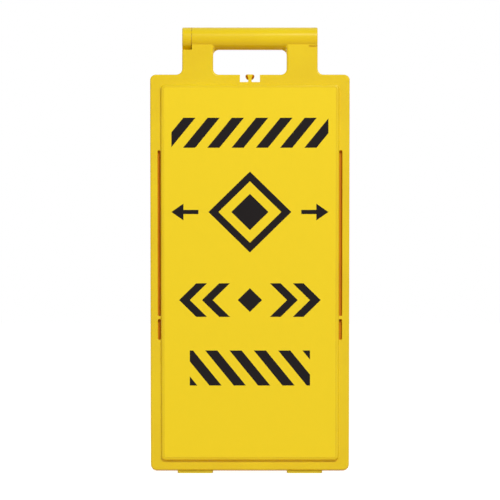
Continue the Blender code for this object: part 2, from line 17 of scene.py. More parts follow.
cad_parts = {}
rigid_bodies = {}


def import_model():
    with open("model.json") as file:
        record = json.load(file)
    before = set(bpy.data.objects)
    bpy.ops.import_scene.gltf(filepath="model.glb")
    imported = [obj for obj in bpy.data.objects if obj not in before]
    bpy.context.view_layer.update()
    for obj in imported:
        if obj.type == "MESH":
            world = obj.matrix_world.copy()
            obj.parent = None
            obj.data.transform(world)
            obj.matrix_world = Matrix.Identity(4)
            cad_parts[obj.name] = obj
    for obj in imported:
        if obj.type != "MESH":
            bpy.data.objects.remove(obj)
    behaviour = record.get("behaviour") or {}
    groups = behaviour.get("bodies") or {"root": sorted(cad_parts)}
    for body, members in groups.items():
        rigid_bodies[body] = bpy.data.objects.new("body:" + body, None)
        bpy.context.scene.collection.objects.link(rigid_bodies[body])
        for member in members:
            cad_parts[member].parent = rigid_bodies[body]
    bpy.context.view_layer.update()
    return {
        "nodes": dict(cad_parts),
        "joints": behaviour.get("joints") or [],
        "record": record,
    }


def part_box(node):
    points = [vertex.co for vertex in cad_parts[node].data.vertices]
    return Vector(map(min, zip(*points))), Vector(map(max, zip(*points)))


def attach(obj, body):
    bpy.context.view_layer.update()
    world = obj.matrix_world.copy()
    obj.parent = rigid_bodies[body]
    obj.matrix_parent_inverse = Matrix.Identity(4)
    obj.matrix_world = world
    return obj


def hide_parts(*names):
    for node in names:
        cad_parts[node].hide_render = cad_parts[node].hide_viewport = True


for item in list(bpy.data.objects):
    bpy.data.objects.remove(item, do_unlink=True)

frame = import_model()

# %% [markdown]
# ## A bench for each panel
#
# A leaning panel is awkward to draw in the room's own axes, so it is drawn on a bench instead: x runs
# across the panel, y runs up it from the hinge axis, and z points out of its sign side. One matrix then
# carries a bench drawing to the front of the stand and another to the rear. The lean and the hinge are
# read from the frame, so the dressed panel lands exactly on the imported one.

# %% The two benches
MM = 0.001

fold = next(joint for joint in frame["joints"] if joint["name"] == "fold")
sign_face = next(mount for mount in frame["record"]["mounts"] if mount["name"] == "front_sign_face")
hinge = Vector(fold["pos_m"])
LEAN = asin(sign_face["axis"][2])


def bench_matrix(turn):
    """From the bench to a panel of the open stand, turned about the upright axis."""
    turned = Matrix.Translation(hinge) @ Matrix.Rotation(turn, 4, "Z")
    return turned @ Matrix.Rotation(-LEAN, 4, "X") @ Matrix.Rotation(radians(90), 4, "X")


BENCH = {"front": bench_matrix(0.0), "rear": bench_matrix(pi)}


def on_bench(node, side="front"):
    """A node's lowest and highest corners, as its bench sees them."""
    back = BENCH[side].inverted()
    places = [back @ vert.co for vert in frame["nodes"][node].data.vertices]
    low = Vector([min(place[axis] for place in places) for axis in range(3)])
    high = Vector([max(place[axis] for place in places) for axis in range(3)])
    return low, high


print("lean in degrees:", round(degrees(LEAN), 2), "hinge height:", round(hinge.z, 4))

# %% [markdown]
# ## Colours and nodes
#
# Colours are picked as sRGB hex values, the way a designer writes them. Cycles works with linear light,
# so one function turns a hex value into linear numbers. A second function adds a shader node with its
# settings and its links in one call, which keeps each material short enough to read at a glance. A math
# node's inputs all have the same name, so they are filled in order.

# %% Colour and node helpers


def linear(code):
    """An sRGB hex colour as linear red, green, blue and alpha."""
    channels = [int(code[start:start + 2], 16) / 255 for start in (1, 3, 5)]
    return [c / 12.92 if c <= 0.04045 else ((c + 0.055) / 1.055) ** 2.4 for c in channels] + [1.0]


def add_node(tree, kind, settings=None, in_order=(), **inputs):
    """Adds a node. An input, named with _ for a space or given in order, is a value or an output."""
    node = tree.nodes.new(kind)
    for name, value in (settings or {}).items():
        setattr(node, name, value)
    named = [(node.inputs[name.replace("_", " ")], value) for name, value in inputs.items()]
    for socket, value in [*zip(node.inputs, in_order), *named]:
        if isinstance(value, bpy.types.NodeSocket):
            tree.links.new(value, socket)
        else:
            socket.default_value = value
    return node


def new_material(name):
    """An empty material with a Principled shader and its Object coordinates."""
    material = bpy.data.materials.new(name)
    material.use_nodes = True
    tree = material.node_tree
    shader = tree.nodes["Principled BSDF"]
    place = add_node(tree, "ShaderNodeTexCoord").outputs["Object"]
    return material, tree, shader, place


def noise_per(size):
    """The scale of a noise texture whose lumps are about this far apart, in metres."""
    return 1 / size


print("mid grey as linear light:", round(linear("#808080")[0], 3))

# %% [markdown]
# ## The moulded yellow plastic
#
# The trays, the arms and the hinge caps are injection-moulded polyethylene. The steel mould was spark
# eroded, which leaves a fine pebbled grain that scatters the light into a soft satin highlight. The
# plastic is coloured all through, with faint flow marks where the melt met itself. The grain is
# really about half a millimetre wide. It is drawn at about 1.6 mm, as coarse as it needs to be to show.
#
# One recipe gives four surfaces. The outer side is grained, and the small parts come from polished moulds
# and are smoother. The hollow inner side of a tray is smooth but dull. The floors and walls of the deep
# slots and the steep flanks of the tab get a darker orange as their colour: that is painted shade, which
# stands in for the shade and the light bounced between yellow walls that turn those hollows orange.

# %% Moulded polyethylene
GRAIN = 1.6 * MM
FLOW_MARK = 70 * MM
PEBBLE_SHARE = 0.35
TINT_RANGE = (0.40, 0.90)
DULLEST = 0.07
GLOSSIEST = -0.05
GRAIN_STRENGTH = 0.5
POLYETHYLENE_IOR = 1.5


def moulded_polyethylene(name, tint, shade, grain_height, gloss, specular):
    material, tree, shader, place = new_material(name)
    flow = add_node(tree, "ShaderNodeTexNoise", Vector=place, Scale=noise_per(FLOW_MARK), Detail=3.0)
    pebbles = add_node(tree, "ShaderNodeTexNoise", Vector=place, Scale=noise_per(GRAIN), Detail=2.0,
                       Roughness=0.6)
    mottle = add_node(tree, "ShaderNodeMath", {"operation": "MULTIPLY_ADD"},
                      (pebbles.outputs["Fac"], PEBBLE_SHARE, flow.outputs["Fac"]))
    ramp = add_node(tree, "ShaderNodeValToRGB", Fac=mottle.outputs["Value"])
    for stop, position, colour in zip(ramp.color_ramp.elements, TINT_RANGE, (shade, tint)):
        stop.position = position
        stop.color = linear(colour)
    tree.links.new(ramp.outputs["Color"], shader.inputs["Base Color"])
    sheen = add_node(tree, "ShaderNodeMapRange", Value=pebbles.outputs["Fac"], To_Min=gloss + GLOSSIEST,
                     To_Max=gloss + DULLEST)
    tree.links.new(sheen.outputs["Result"], shader.inputs["Roughness"])
    bump = add_node(tree, "ShaderNodeBump", Height=pebbles.outputs["Fac"], Distance=grain_height,
                    Strength=GRAIN_STRENGTH)
    tree.links.new(bump.outputs["Normal"], shader.inputs["Normal"])
    shader.inputs["IOR"].default_value = POLYETHYLENE_IOR
    shader.inputs["Specular IOR Level"].default_value = specular
    return material


plastic = moulded_polyethylene(
    "moulded_polyethylene_yellow_grained", tint="#ECD104", shade="#E6C704", grain_height=0.12 * MM,
    gloss=0.23, specular=0.3)
plastic_smooth = moulded_polyethylene(
    "moulded_polyethylene_yellow_smooth", tint="#EBCE04", shade="#E5C404", grain_height=0.04 * MM,
    gloss=0.27, specular=0.3)
plastic_inner = moulded_polyethylene(
    "moulded_polyethylene_yellow_inner_side", tint="#EFD004", shade="#E8C604", grain_height=0.04 * MM,
    gloss=0.5, specular=0.06)
# Painted shade: a darker orange for the slots' floors and walls and the tab's steep flanks, in place of the
# shade that falls in them.
plastic_painted_shade = moulded_polyethylene(
    "moulded_polyethylene_yellow_painted_shade", tint="#DC900A", shade="#D48608", grain_height=0.04 * MM,
    gloss=0.45, specular=0.08)
print("plastic materials:", plastic.name, plastic_smooth.name, plastic_inner.name, plastic_painted_shade.name)

# %% [markdown]
# ## The sheet, the ink, the pads and the steel
#
# The sign sheet is printed vinyl under a satin laminate: its yellow is dead even, and only a very low
# orange peel from the laminate breaks the reflection. The ink is a warm near-black screen ink. The feet
# are a thermoplastic rubber in a darker yellow, and the rod, the rivets and the washers are steel with
# a bright zinc plating, whose crystals give it a faint cloudy look.

# %% Vinyl, ink, rubber and zinc
ORANGE_PEEL = 2.5 * MM
RUBBER_GRAIN = 1.2 * MM
ZINC_CLOUD = 1.5 * MM
ROUGHNESS_SPREAD = 0.05
BUMP_STRENGTH = 0.4


def simple_material(name, colour, roughness, bump_size, bump_height, specular, metallic=0.0):
    """One even colour over a fine bump, for surfaces whose colour doesn't vary."""
    material, tree, shader, place = new_material(name)
    shader.inputs["Base Color"].default_value = linear(colour)
    shader.inputs["Metallic"].default_value = metallic
    shader.inputs["Specular IOR Level"].default_value = specular
    grain = add_node(tree, "ShaderNodeTexNoise", Vector=place, Scale=noise_per(bump_size), Detail=2.0)
    sheen = add_node(tree, "ShaderNodeMapRange", Value=grain.outputs["Fac"],
                     To_Min=roughness - ROUGHNESS_SPREAD, To_Max=roughness + ROUGHNESS_SPREAD)
    tree.links.new(sheen.outputs["Result"], shader.inputs["Roughness"])
    bump = add_node(tree, "ShaderNodeBump", Height=grain.outputs["Fac"], Distance=bump_height,
                    Strength=BUMP_STRENGTH)
    tree.links.new(bump.outputs["Normal"], shader.inputs["Normal"])
    return material


vinyl = simple_material(
    "printed_vinyl_satin_laminate", "#F3D80C", roughness=0.45, bump_size=ORANGE_PEEL,
    bump_height=0.02 * MM, specular=0.2)
ink = simple_material(
    "screen_ink_black", "#1E1B1C", roughness=0.6, bump_size=ORANGE_PEEL,
    bump_height=0.02 * MM, specular=0.06)
rubber = simple_material(
    "thermoplastic_rubber_dark_yellow", "#DACA2A", roughness=0.65, bump_size=RUBBER_GRAIN,
    bump_height=0.08 * MM, specular=0.3)
zinc = simple_material(
    "steel_bright_zinc_plated", "#C9CACB", roughness=0.32, bump_size=ZINC_CLOUD,
    bump_height=0.01 * MM, specular=0.5, metallic=1.0)
print("other materials:", vinyl.name, ink.name, rubber.name, zinc.name)

# %% [markdown]
# ## Four ways to make a solid
#
# Nearly every piece starts in one of four ways: an outline drawn through a few corners and pulled to its
# thickness, a block, a cylinder, or a profile spun about an axis. The corners of an outline are rounded by
# a vertex bevel, so the drawing holds only the corners and their radii.

# %% Outlines, blocks, cylinders and turned shapes
CORNER_STEPS = 8
PIN_SIDES = 32
DOUBLES = 0.001 * MM


def drawn(corners, steps=CORNER_STEPS):
    """A flat face through (across, up, radius) corners, each rounded by a vertex bevel."""
    shape = bmesh.new()
    marks = [(shape.verts.new((across, up, 0.0)), radius) for across, up, radius in corners]
    shape.faces.new([mark for mark, radius in marks])
    for size in sorted({radius for mark, radius in marks if radius > 0}):
        alike = [mark for mark, radius in marks if radius == size]
        bmesh.ops.bevel(shape, geom=alike, offset=size, offset_type="OFFSET", segments=steps,
                        profile=0.5, affect="VERTICES", material=-1)
    bmesh.ops.remove_doubles(shape, verts=shape.verts, dist=DOUBLES)
    return shape


def pulled(shape, back, front):
    """A flat shape moved to a depth and extruded to another, as a closed solid."""
    bmesh.ops.translate(shape, verts=shape.verts, vec=(0, 0, back))
    grown = bmesh.ops.extrude_face_region(shape, geom=list(shape.faces))["geom"]
    far = [item for item in grown if isinstance(item, bmesh.types.BMVert)]
    bmesh.ops.translate(shape, verts=far, vec=(0, 0, front - back))
    bmesh.ops.recalc_face_normals(shape, faces=shape.faces)
    return shape


def block(left, right, bottom, top, back, front):
    """A box between two corners."""
    low, high = Vector((left, bottom, back)), Vector((right, top, front))
    shape = bmesh.new()
    matrix = Matrix.Translation((low + high) / 2) @ Matrix.Diagonal((*(high - low), 1.0))
    bmesh.ops.create_cube(shape, size=1.0, matrix=matrix)
    return shape


def cylinder(radius, length, matrix, sides=PIN_SIDES):
    """A cylinder along the z of a matrix, with its middle at the matrix's origin."""
    shape = bmesh.new()
    bmesh.ops.create_cone(shape, cap_ends=True, segments=sides, radius1=radius, radius2=radius,
                          depth=length, matrix=matrix)
    return shape


def round_bar(radius, left, right, sides, up=0.0):
    """A cylinder lying across the panel, along x."""
    matrix = Matrix.Translation(((left + right) / 2, up, 0.0)) @ Matrix.Rotation(radians(90), 4, "Y")
    return cylinder(radius, right - left, matrix, sides)


def spun(profile, sides):
    """A closed solid of revolution about z, from (radius, height) points."""
    shape = bmesh.new()
    marks = [shape.verts.new((radius, 0.0, height)) for radius, height in profile]
    edges = [shape.edges.new(pair) for pair in zip(marks, marks[1:])]
    bmesh.ops.spin(shape, geom=marks + edges, axis=(0, 0, 1), cent=(0, 0, 0), angle=2 * pi,
                   steps=sides, use_merge=True)
    bmesh.ops.remove_doubles(shape, verts=shape.verts, dist=DOUBLES)
    bmesh.ops.recalc_face_normals(shape, faces=shape.faces)
    return shape


sample_bar = round_bar(10 * MM, 0.0, 50 * MM, PIN_SIDES)
print("corners of a sample bar:", len(sample_bar.verts))
sample_bar.free()

# %% [markdown]
# ## Rounding and cutting
#
# A moulded or turned part has no truly sharp edge, so every shape gets a bevel where two faces meet at
# more than an angle. A shape with openings is made by exact Booleans, one after the other. Each leaves
# doubles and split flat faces behind, which are merged and dissolved at once, because the next cut needs a
# clean closed shape.

# %% Softened edges and Booleans
EDGE_ANGLE = radians(40)
CUT_DOUBLES = 0.002 * MM
FLAT_ANGLE = radians(0.2)


def soften(shape, radius, steps=3, where=None, sharper_than=EDGE_ANGLE):
    """Rounds the edges that are sharper than an angle, or those of them whose two ends pass a test."""
    chosen = [
        edge for edge in shape.edges
        if len(edge.link_faces) == 2 and edge.calc_face_angle() > sharper_than
        and (where is None or all(where(vert.co) for vert in edge.verts))
    ]
    bmesh.ops.bevel(shape, geom=chosen, offset=radius, offset_type="OFFSET", segments=steps, profile=0.5,
                    affect="EDGES", clamp_overlap=True, material=-1)
    return shape


def as_object(name, shape):
    """A bmesh as an object of the scene."""
    data = bpy.data.meshes.new(name)
    shape.to_mesh(data)
    shape.free()
    item = bpy.data.objects.new(name, data)
    bpy.context.scene.collection.objects.link(item)
    return item


def combined(base, steps):
    """Applies exact unions and cuts one after the other, and gives the result as a clean bmesh."""
    item = as_object("work", base)
    for operation, tool in steps:
        other = as_object("tool", tool)
        modifier = item.modifiers.new("cut", "BOOLEAN")
        modifier.operation = operation
        modifier.solver = "EXACT"
        modifier.object = other
        graph = bpy.context.evaluated_depsgraph_get()
        result = bpy.data.meshes.new_from_object(item.evaluated_get(graph))
        item.modifiers.clear()
        item.data = result
        bpy.data.objects.remove(other, do_unlink=True)
    shape = bmesh.new()
    shape.from_mesh(item.data)
    bpy.data.objects.remove(item, do_unlink=True)
    bmesh.ops.remove_doubles(shape, verts=shape.verts, dist=CUT_DOUBLES)
    bmesh.ops.dissolve_limit(shape, angle_limit=FLAT_ANGLE, verts=shape.verts, edges=shape.edges)
    return shape


def gathered(shapes):
    """Separate solids in one mesh, for pieces that don't touch each other."""
    group = bmesh.new()
    for shape in shapes:
        scratch = bpy.data.meshes.new("scratch")
        shape.to_mesh(scratch)
        shape.free()
        group.from_mesh(scratch)
        bpy.data.meshes.remove(scratch)
    return group


def lofted(layers):
    """A closed solid through flat outlines at rising depths, which all have the same number of points."""
    shape = gathered(layers)
    outlines = sorted(shape.faces, key=lambda face: face.calc_center_median().z)
    for lower, upper in zip(outlines, outlines[1:]):
        bmesh.ops.bridge_loops(shape, edges=[*lower.edges, *upper.edges])
    bmesh.ops.delete(shape, geom=outlines[1:-1], context="FACES_ONLY")
    bmesh.ops.recalc_face_normals(shape, faces=shape.faces)
    return shape


def joined(shape, *tools):
    return combined(shape, [("UNION", tool) for tool in tools])


def cut(shape, *tools):
    return combined(shape, [("DIFFERENCE", tool) for tool in tools])


def sliced(shape, point, normal, **dropped):
    """Cuts a closed shape by a plane, drops the side that is named and closes the cut."""
    bmesh.ops.bisect_plane(shape, geom=shape.verts[:] + shape.edges[:] + shape.faces[:], plane_co=point,
                           plane_no=normal, **dropped)
    bmesh.ops.holes_fill(shape, edges=[edge for edge in shape.edges if edge.is_boundary])


sample_block = soften(block(0.0, 1.0, 0.0, 1.0, 0.0, 1.0), 0.1)
print("faces of a softened block:", len(sample_block.faces))
sample_block.free()

# %% [markdown]
# ## The tray
#
# Each panel is one shallow tray, moulded with its half of the hinge tube. Its outline is a wide body
# with round corners and a narrower neck. It is drawn at full thickness first, and hollowed from behind
# later, so that each wall keeps an even thickness. The sizes that the frame can give are read from it.

# %% Sizes of the tray
panel_low, panel_high = on_bench("front_panel")

SHOULDER = panel_high.x
BASE = 138.3 * MM
PANEL_DROP = -panel_low.y
TUBE_RADIUS = panel_high.y
FACE_DEPTH = on_bench("front_label")[1].z
RIM_DEPTH = 12 * MM
BACK_GAP = 0.5 * MM
WALL = 2.5 * MM
SHOULDER_DROP = 53.5 * MM
NECK = 95 * MM
NECK_FILLET = 8.4 * MM
SHOULDER_RADIUS = 8 * MM
BASE_RADIUS = 9 * MM
BASE_DRAFT = 1.2 * MM
RIM_ROUND = 2 * MM
OVERLAP = 1 * MM
FIT_GAP = 0.3 * MM
TOUCH = 0.01 * MM
MARGIN = 0.1 * MM


def half_width(drop):
    """Half the tray's width at a distance down from the hinge axis."""
    return SHOULDER + (BASE - SHOULDER) * (drop - SHOULDER_DROP) / (PANEL_DROP - SHOULDER_DROP)


def both_sides(right):
    """The outline's right-hand corners, from the top down, with their mirror images."""
    return right + [(-across, up, radius) for across, up, radius in reversed(right)]


def in_front(depth):
    """A test for points that lie in the plane at that depth."""
    return lambda place: abs(place.z - depth) < TOUCH


print("half widths in mm:", round(SHOULDER / MM, 1), round(BASE / MM, 1), "drop:", round(PANEL_DROP / MM, 1))

# %% [markdown]
# ## The grip opening
#
# The opening is cut with one lofted tool. Its outline is drawn again at each depth: the sides and the
# bottom open out near the front, which rounds their edge, and the top follows the hinge tube's own curve.
# The upper corners are wide at the back and nearly square at the front, so the tube's underside runs into
# the neck with a soft hollow, as on the real moulding.

# %% The body with its grip opening
GRIP_HALF = 51.5 * MM
GRIP_RADIUS = 8.4 * MM
GRIP_CORNER_FRONT = 1 * MM
GRIP_ROUND = 3 * MM
GRIP_BACK_DEPTHS = [value * MM for value in (-1, 0, 2, 4, 6, 7.5)]
NOTCH_HALF = 14 * MM
NOTCH_DEPTH = 11.1 * MM
CORNER_SINK = 0.05 * MM
MOUTH_TURNS = [radians(angle) for angle in (0, 16, 32, 48, 64, 80)]
MOUTH_RUN = 0.08


def grip_layer(depth, opening):
    """The opening's outline at a depth, wider by an amount than at the back."""
    inside = max(0.0, depth)
    top = -sqrt((TUBE_RADIUS - CORNER_SINK) ** 2 - inside ** 2)
    share = min(1.0, inside / RIM_DEPTH)
    top_radius = GRIP_RADIUS * (1 - share) + GRIP_CORNER_FRONT * share
    layer = drawn(both_sides([
        (GRIP_HALF + opening, top, top_radius),
        (GRIP_HALF + opening, -SHOULDER_DROP - opening, GRIP_RADIUS + opening),
    ]))
    bmesh.ops.translate(layer, verts=layer.verts, vec=(0, 0, depth))
    return layer


def rounded_mouth(radius):
    """(depth, opening) pairs of a rounded edge at the rim's front, run on a little past the surface."""
    last = MOUTH_TURNS[-1]
    pairs = [(RIM_DEPTH - radius * (1 - sin(turn)), radius * (1 - cos(turn))) for turn in MOUTH_TURNS]
    depth, opening = pairs[-1]
    beyond = MOUTH_RUN * radius
    return pairs + [(depth + beyond, opening + beyond * tan(last))]


def grip_opening():
    layers = [grip_layer(depth, 0.0) for depth in GRIP_BACK_DEPTHS]
    layers += [grip_layer(depth, opening) for depth, opening in rounded_mouth(GRIP_ROUND)]
    return lofted(layers)


def body():
    """The plate of the tray, with a rounded front edge, the grip opening and the notch under it."""
    plate = pulled(drawn(both_sides([
        (NECK, -2 * OVERLAP, 0),
        (NECK, -SHOULDER_DROP, NECK_FILLET),
        (SHOULDER, -SHOULDER_DROP, SHOULDER_RADIUS),
        (BASE, -PANEL_DROP, BASE_RADIUS),
    ])), BACK_GAP, RIM_DEPTH)
    low_back = [vert for vert in plate.verts
                if vert.co.z < BACK_GAP + TOUCH and vert.co.y < -PANEL_DROP + BASE_RADIUS + MARGIN]
    bmesh.ops.translate(plate, verts=low_back, vec=(0, BASE_DRAFT, 0))
    soften(plate, RIM_ROUND, 4, in_front(RIM_DEPTH))
    notch = block(-NOTCH_HALF, NOTCH_HALF, -SHOULDER_DROP - NOTCH_DEPTH, -SHOULDER_DROP + GRIP_ROUND,
                  -OVERLAP, RIM_DEPTH + OVERLAP)
    return cut(plate, grip_opening(), notch)


print("grip opening in mm:", round(2 * GRIP_HALF / MM, 1), "by", round((SHOULDER_DROP - TUBE_RADIUS) / MM, 1))

# %% [markdown]
# ## The raised face
#
# The sign lies on a pad that stands 5 mm proud of the rim. Its edge is a large soft round, which catches
# the light along the top and falls into shade along the bottom, and a small fillet joins its foot to the
# rim. The round is an edge bevel of the pad alone. The fillet is a bevel of the edge loop that the union
# leaves, which is the one place where a concave edge is wanted. The label lies in a shallow seat and stands
# a little proud of the moulding, so that its own edge shows as a fine line.

# %% Rim, face and label seat
RIM_TOP = 15.5 * MM
RIM_SIDE = 14.7 * MM
RIM_BOTTOM = 13 * MM
FACE_RADIUS = 6.2 * MM
FACE_ROUND = 3 * MM
FACE_FOOT = 0.5 * MM
LABEL_THICKNESS = 0.4 * MM
LABEL_INSET = 4.6 * MM
LABEL_PROUD = 0.3 * MM
SEAT_GAP = 0.05 * MM
FACE_TOP_DROP = SHOULDER_DROP + RIM_TOP
FACE_BOTTOM_DROP = PANEL_DROP - RIM_BOTTOM


def face_half(drop):
    return half_width(drop) - RIM_SIDE


def face_corners(inset):
    """The raised face's outline, drawn in by a distance."""
    radius = FACE_RADIUS - inset
    return both_sides([
        (face_half(FACE_TOP_DROP) - inset, -FACE_TOP_DROP - inset, radius),
        (face_half(FACE_BOTTOM_DROP) - inset, -FACE_BOTTOM_DROP + inset, radius),
    ])


def with_face(tray):
    front = FACE_DEPTH - LABEL_PROUD
    pad = pulled(drawn(face_corners(0.0)), RIM_DEPTH - WALL / 2, front)
    soften(pad, FACE_ROUND, 6, in_front(front))
    tray = joined(tray, pad)
    soften(tray, FACE_FOOT, 3, lambda place: abs(place.z - RIM_DEPTH) < TOUCH
           and -FACE_BOTTOM_DROP - MARGIN < place.y < -FACE_TOP_DROP + MARGIN
           and abs(place.x) < face_half(-place.y) + MARGIN)
    seat = pulled(drawn(face_corners(LABEL_INSET - SEAT_GAP)), FACE_DEPTH - LABEL_THICKNESS - SEAT_GAP,
                  FACE_DEPTH + OVERLAP)
    return cut(tray, seat)


print("raised face in mm:", round(2 * face_half(FACE_TOP_DROP) / MM, 1), "by",
      round((FACE_BOTTOM_DROP - FACE_TOP_DROP) / MM, 1))

# %% [markdown]
# ## The hinge tube
#
# The handle is a tube in two halves, one moulded on each tray, and a closed knuckle at one end of each
# half holds both trays on the rod. On the open stand the halves meet along the top. The tube is made as
# one whole cylinder, and the space of the other tray's half is then cut away, so the closed knuckle and
# the open half share the same facets and no sliver is left between them.

# %% Tube and knuckle
TUBE_SIDES = 96
TUBE_WALL = 2.5 * MM
BORE_RADIUS = TUBE_RADIUS - TUBE_WALL
KNUCKLE = NECK - 12 * MM
KNUCKLE_GAP = 1.5 * MM
HALF_TUBE = KNUCKLE - KNUCKLE_GAP
KNUCKLE_ROOM = 2.1 * MM
TUBE_END_ROUND = 1.8 * MM
SEAM_ROUND = 0.4 * MM
TUBE_MEETS_NECK = sqrt(TUBE_RADIUS ** 2 - RIM_DEPTH ** 2)
GROOVE_OFFSET = 1.3 * MM
GROOVE_HEIGHT = 2.7 * MM
GROOVE_DEPTH = 2.4 * MM
FAR = 40 * MM


def tube():
    """The front half of the handle tube, with its closed knuckle on the right."""
    whole = round_bar(TUBE_RADIUS, -HALF_TUBE, NECK, TUBE_SIDES)
    soften(whole, TUBE_END_ROUND, 4, lambda place: place.x > KNUCKLE)
    soften(whole, SEAM_ROUND, 2, lambda place: place.x < -KNUCKLE)
    behind = block(-NECK, KNUCKLE, -FAR, FAR, -FAR, BACK_GAP)
    other_half = block(-NECK, KNUCKLE, -FAR, FAR, -FAR, FIT_GAP / 2)
    lean = Matrix.Rotation(LEAN, 3, "X")
    bmesh.ops.rotate(other_half, verts=other_half.verts, cent=(0, 0, 0), matrix=lean)
    return cut(whole, behind, other_half)


def with_tube(tray):
    room = block(-NECK - OVERLAP, -HALF_TUBE, -TUBE_RADIUS - KNUCKLE_ROOM, FAR, -FAR, FAR)
    tray = joined(cut(tray, room), tube())
    bore = round_bar(BORE_RADIUS, -NECK - 2 * OVERLAP, NECK + 2 * OVERLAP, TUBE_SIDES)
    groove_top = -(TUBE_MEETS_NECK + GROOVE_OFFSET)
    groove = block(KNUCKLE, NECK + OVERLAP, groove_top - GROOVE_HEIGHT, groove_top,
                   RIM_DEPTH - GROOVE_DEPTH, FACE_DEPTH)
    return cut(tray, bore, groove)


print("tube in mm: outside", round(2 * TUBE_RADIUS / MM, 1), "bore", round(2 * BORE_RADIUS / MM, 1))

# %% [markdown]
# ## Hollowing the tray from behind
#
# A moulding this size would sink and warp if it were solid, so the back is one deep hollow behind the
# rim and a second, deeper one behind the raised face, crossed by thin ribs. Each hollow keeps the wall
# thickness by following the outside at that distance. The same distances tell later which faces lie inside,
# for the duller inner side.

# %% Hollows and ribs
RIB_THICKNESS = 2 * MM
RIB_HEIGHT = 6 * MM
CROSS_RIBS = 5
LONG_RIBS = 2
NEAR = 0.05 * MM


def rim_hollow():
    neck = NECK - WALL
    grip = GRIP_HALF + WALL
    notch = NOTCH_HALF + WALL
    top = TUBE_RADIUS + KNUCKLE_ROOM + WALL
    shoulder = SHOULDER_DROP + WALL
    bottom = PANEL_DROP - WALL
    return pulled(drawn(both_sides([
        (notch, -(SHOULDER_DROP + NOTCH_DEPTH + WALL), 0),
        (notch, -shoulder, 0),
        (grip, -shoulder, GRIP_RADIUS + WALL),
        (grip, -top, 0),
        (neck, -top, 0),
        (neck, -shoulder, NECK_FILLET + WALL),
        (half_width(shoulder) - WALL, -shoulder, SHOULDER_RADIUS - WALL),
        (half_width(bottom) - WALL, -bottom, BASE_RADIUS - WALL),
    ])), -OVERLAP, RIM_DEPTH - WALL)


def ribs():
    back = FACE_DEPTH - WALL - RIB_HEIGHT
    front = FACE_DEPTH - WALL / 2
    half = RIB_THICKNESS / 2
    solids = []
    pitch = (FACE_BOTTOM_DROP - FACE_TOP_DROP) / (CROSS_RIBS + 1)
    for index in range(CROSS_RIBS):
        drop = FACE_TOP_DROP + pitch * (index + 1)
        side = face_half(drop) - WALL / 2
        solids.append(block(-side, side, -drop - half, -drop + half, back, front))
    for index in range(LONG_RIBS):
        across = 2 * face_half(FACE_BOTTOM_DROP) * ((index + 1) / (LONG_RIBS + 1) - 0.5)
        solids.append(block(across - half, across + half, -FACE_BOTTOM_DROP + WALL / 2,
                            -FACE_TOP_DROP - WALL / 2, back, front))
    return solids


def in_hollow(place):
    """Whether a point of the tray lies in the hollow behind the rim, the neck or the raised face."""
    across, drop = abs(place.x), -place.y
    if drop < SHOULDER_DROP + NOTCH_DEPTH + WALL - NEAR:
        edge = half_width(drop) if drop > SHOULDER_DROP + WALL + NEAR else NECK
        middle = NOTCH_HALF if drop > SHOULDER_DROP + WALL - NEAR else GRIP_HALF
        return (TUBE_RADIUS + KNUCKLE_ROOM + WALL - NEAR < drop and place.z < RIM_DEPTH - WALL + NEAR
                and middle + WALL - NEAR < across < edge - WALL + NEAR)
    if place.z < RIM_DEPTH - WALL + NEAR:
        return across < half_width(drop) - WALL + NEAR and drop < PANEL_DROP - WALL + NEAR
    return (across < face_half(drop) - WALL + NEAR and place.z < FACE_DEPTH - WALL + NEAR
            and FACE_TOP_DROP + WALL - NEAR < drop < FACE_BOTTOM_DROP - WALL + NEAR)


def hollowed(tray):
    face_hollow = pulled(drawn(face_corners(WALL)), RIM_DEPTH - 2 * WALL, FACE_DEPTH - WALL)
    return joined(cut(tray, rim_hollow(), face_hollow), *ribs())


print("hollow depth in mm:", round((RIM_DEPTH - WALL) / MM, 1), "and", round((FACE_DEPTH - WALL) / MM, 1))

# %% [markdown]
# ## The forked tab
#
# A small forked tab stands in the notch under the grip, for a cord or a chain link. Its head is a half
# disc at the back and a narrow V at the front. A convex hull over both outlines gives the steep flanks
# between them, which make the head read as a knob. The flanks get the darker orange of the slots, which
# is painted shade for these steep faces that the light hardly reaches.

# %% Forked tab
TAB_STEM = 2.25 * MM
TAB_HEAD = 4.2 * MM
TAB_HEAD_HEIGHT = 5.5 * MM
TAB_DISC = 6.3 * MM
TAB_FRONT = RIM_DEPTH - 0.2 * MM
TAB_STEM_THICKNESS = 6 * MM
TAB_FLARE = 1.8 * MM
TAB_BACK = BACK_GAP + 0.2 * MM
TAB_EDGE = 0.4 * MM
TAB_FOOT_SINK = 0.05 * MM
DISC_SIDES = 32
HULL_ANGLE = radians(1)
FLANK_FACING = (0.05, 0.8)


def tab_head():
    """The hull over the half disc at the back and the V at the front."""
    top = -SHOULDER_DROP
    head = bmesh.new()
    centre = (0, top, 0)
    bmesh.ops.create_circle(head, segments=DISC_SIDES, radius=TAB_DISC, matrix=Matrix.Translation(centre))
    bmesh.ops.bisect_plane(head, geom=head.verts[:] + head.edges[:], plane_co=centre, plane_no=(0, 1, 0),
                           clear_outer=True)
    bmesh.ops.translate(head, verts=head.verts, vec=(0, 0, TAB_BACK))
    for edge in head.edges[:]:
        head.edges.remove(edge)
    ring = bmesh.ops.duplicate(head, geom=head.verts[:])["geom"]
    bmesh.ops.translate(head, verts=ring, vec=(0, 0, WALL))
    for across, up in ((TAB_HEAD, top), (TAB_STEM, top - TAB_HEAD_HEIGHT)):
        for side in (-1, 1):
            head.verts.new((side * across, up, TAB_FRONT))
    hull = bmesh.ops.convex_hull(head, input=head.verts[:])
    bmesh.ops.delete(head, geom=hull["geom_interior"], context="VERTS")
    bmesh.ops.dissolve_limit(head, angle_limit=HULL_ANGLE, verts=head.verts, edges=head.edges)
    bmesh.ops.recalc_face_normals(head, faces=head.faces)
    return soften(head, TAB_EDGE, 2, lambda place: place.z > TAB_FRONT - TOUCH)


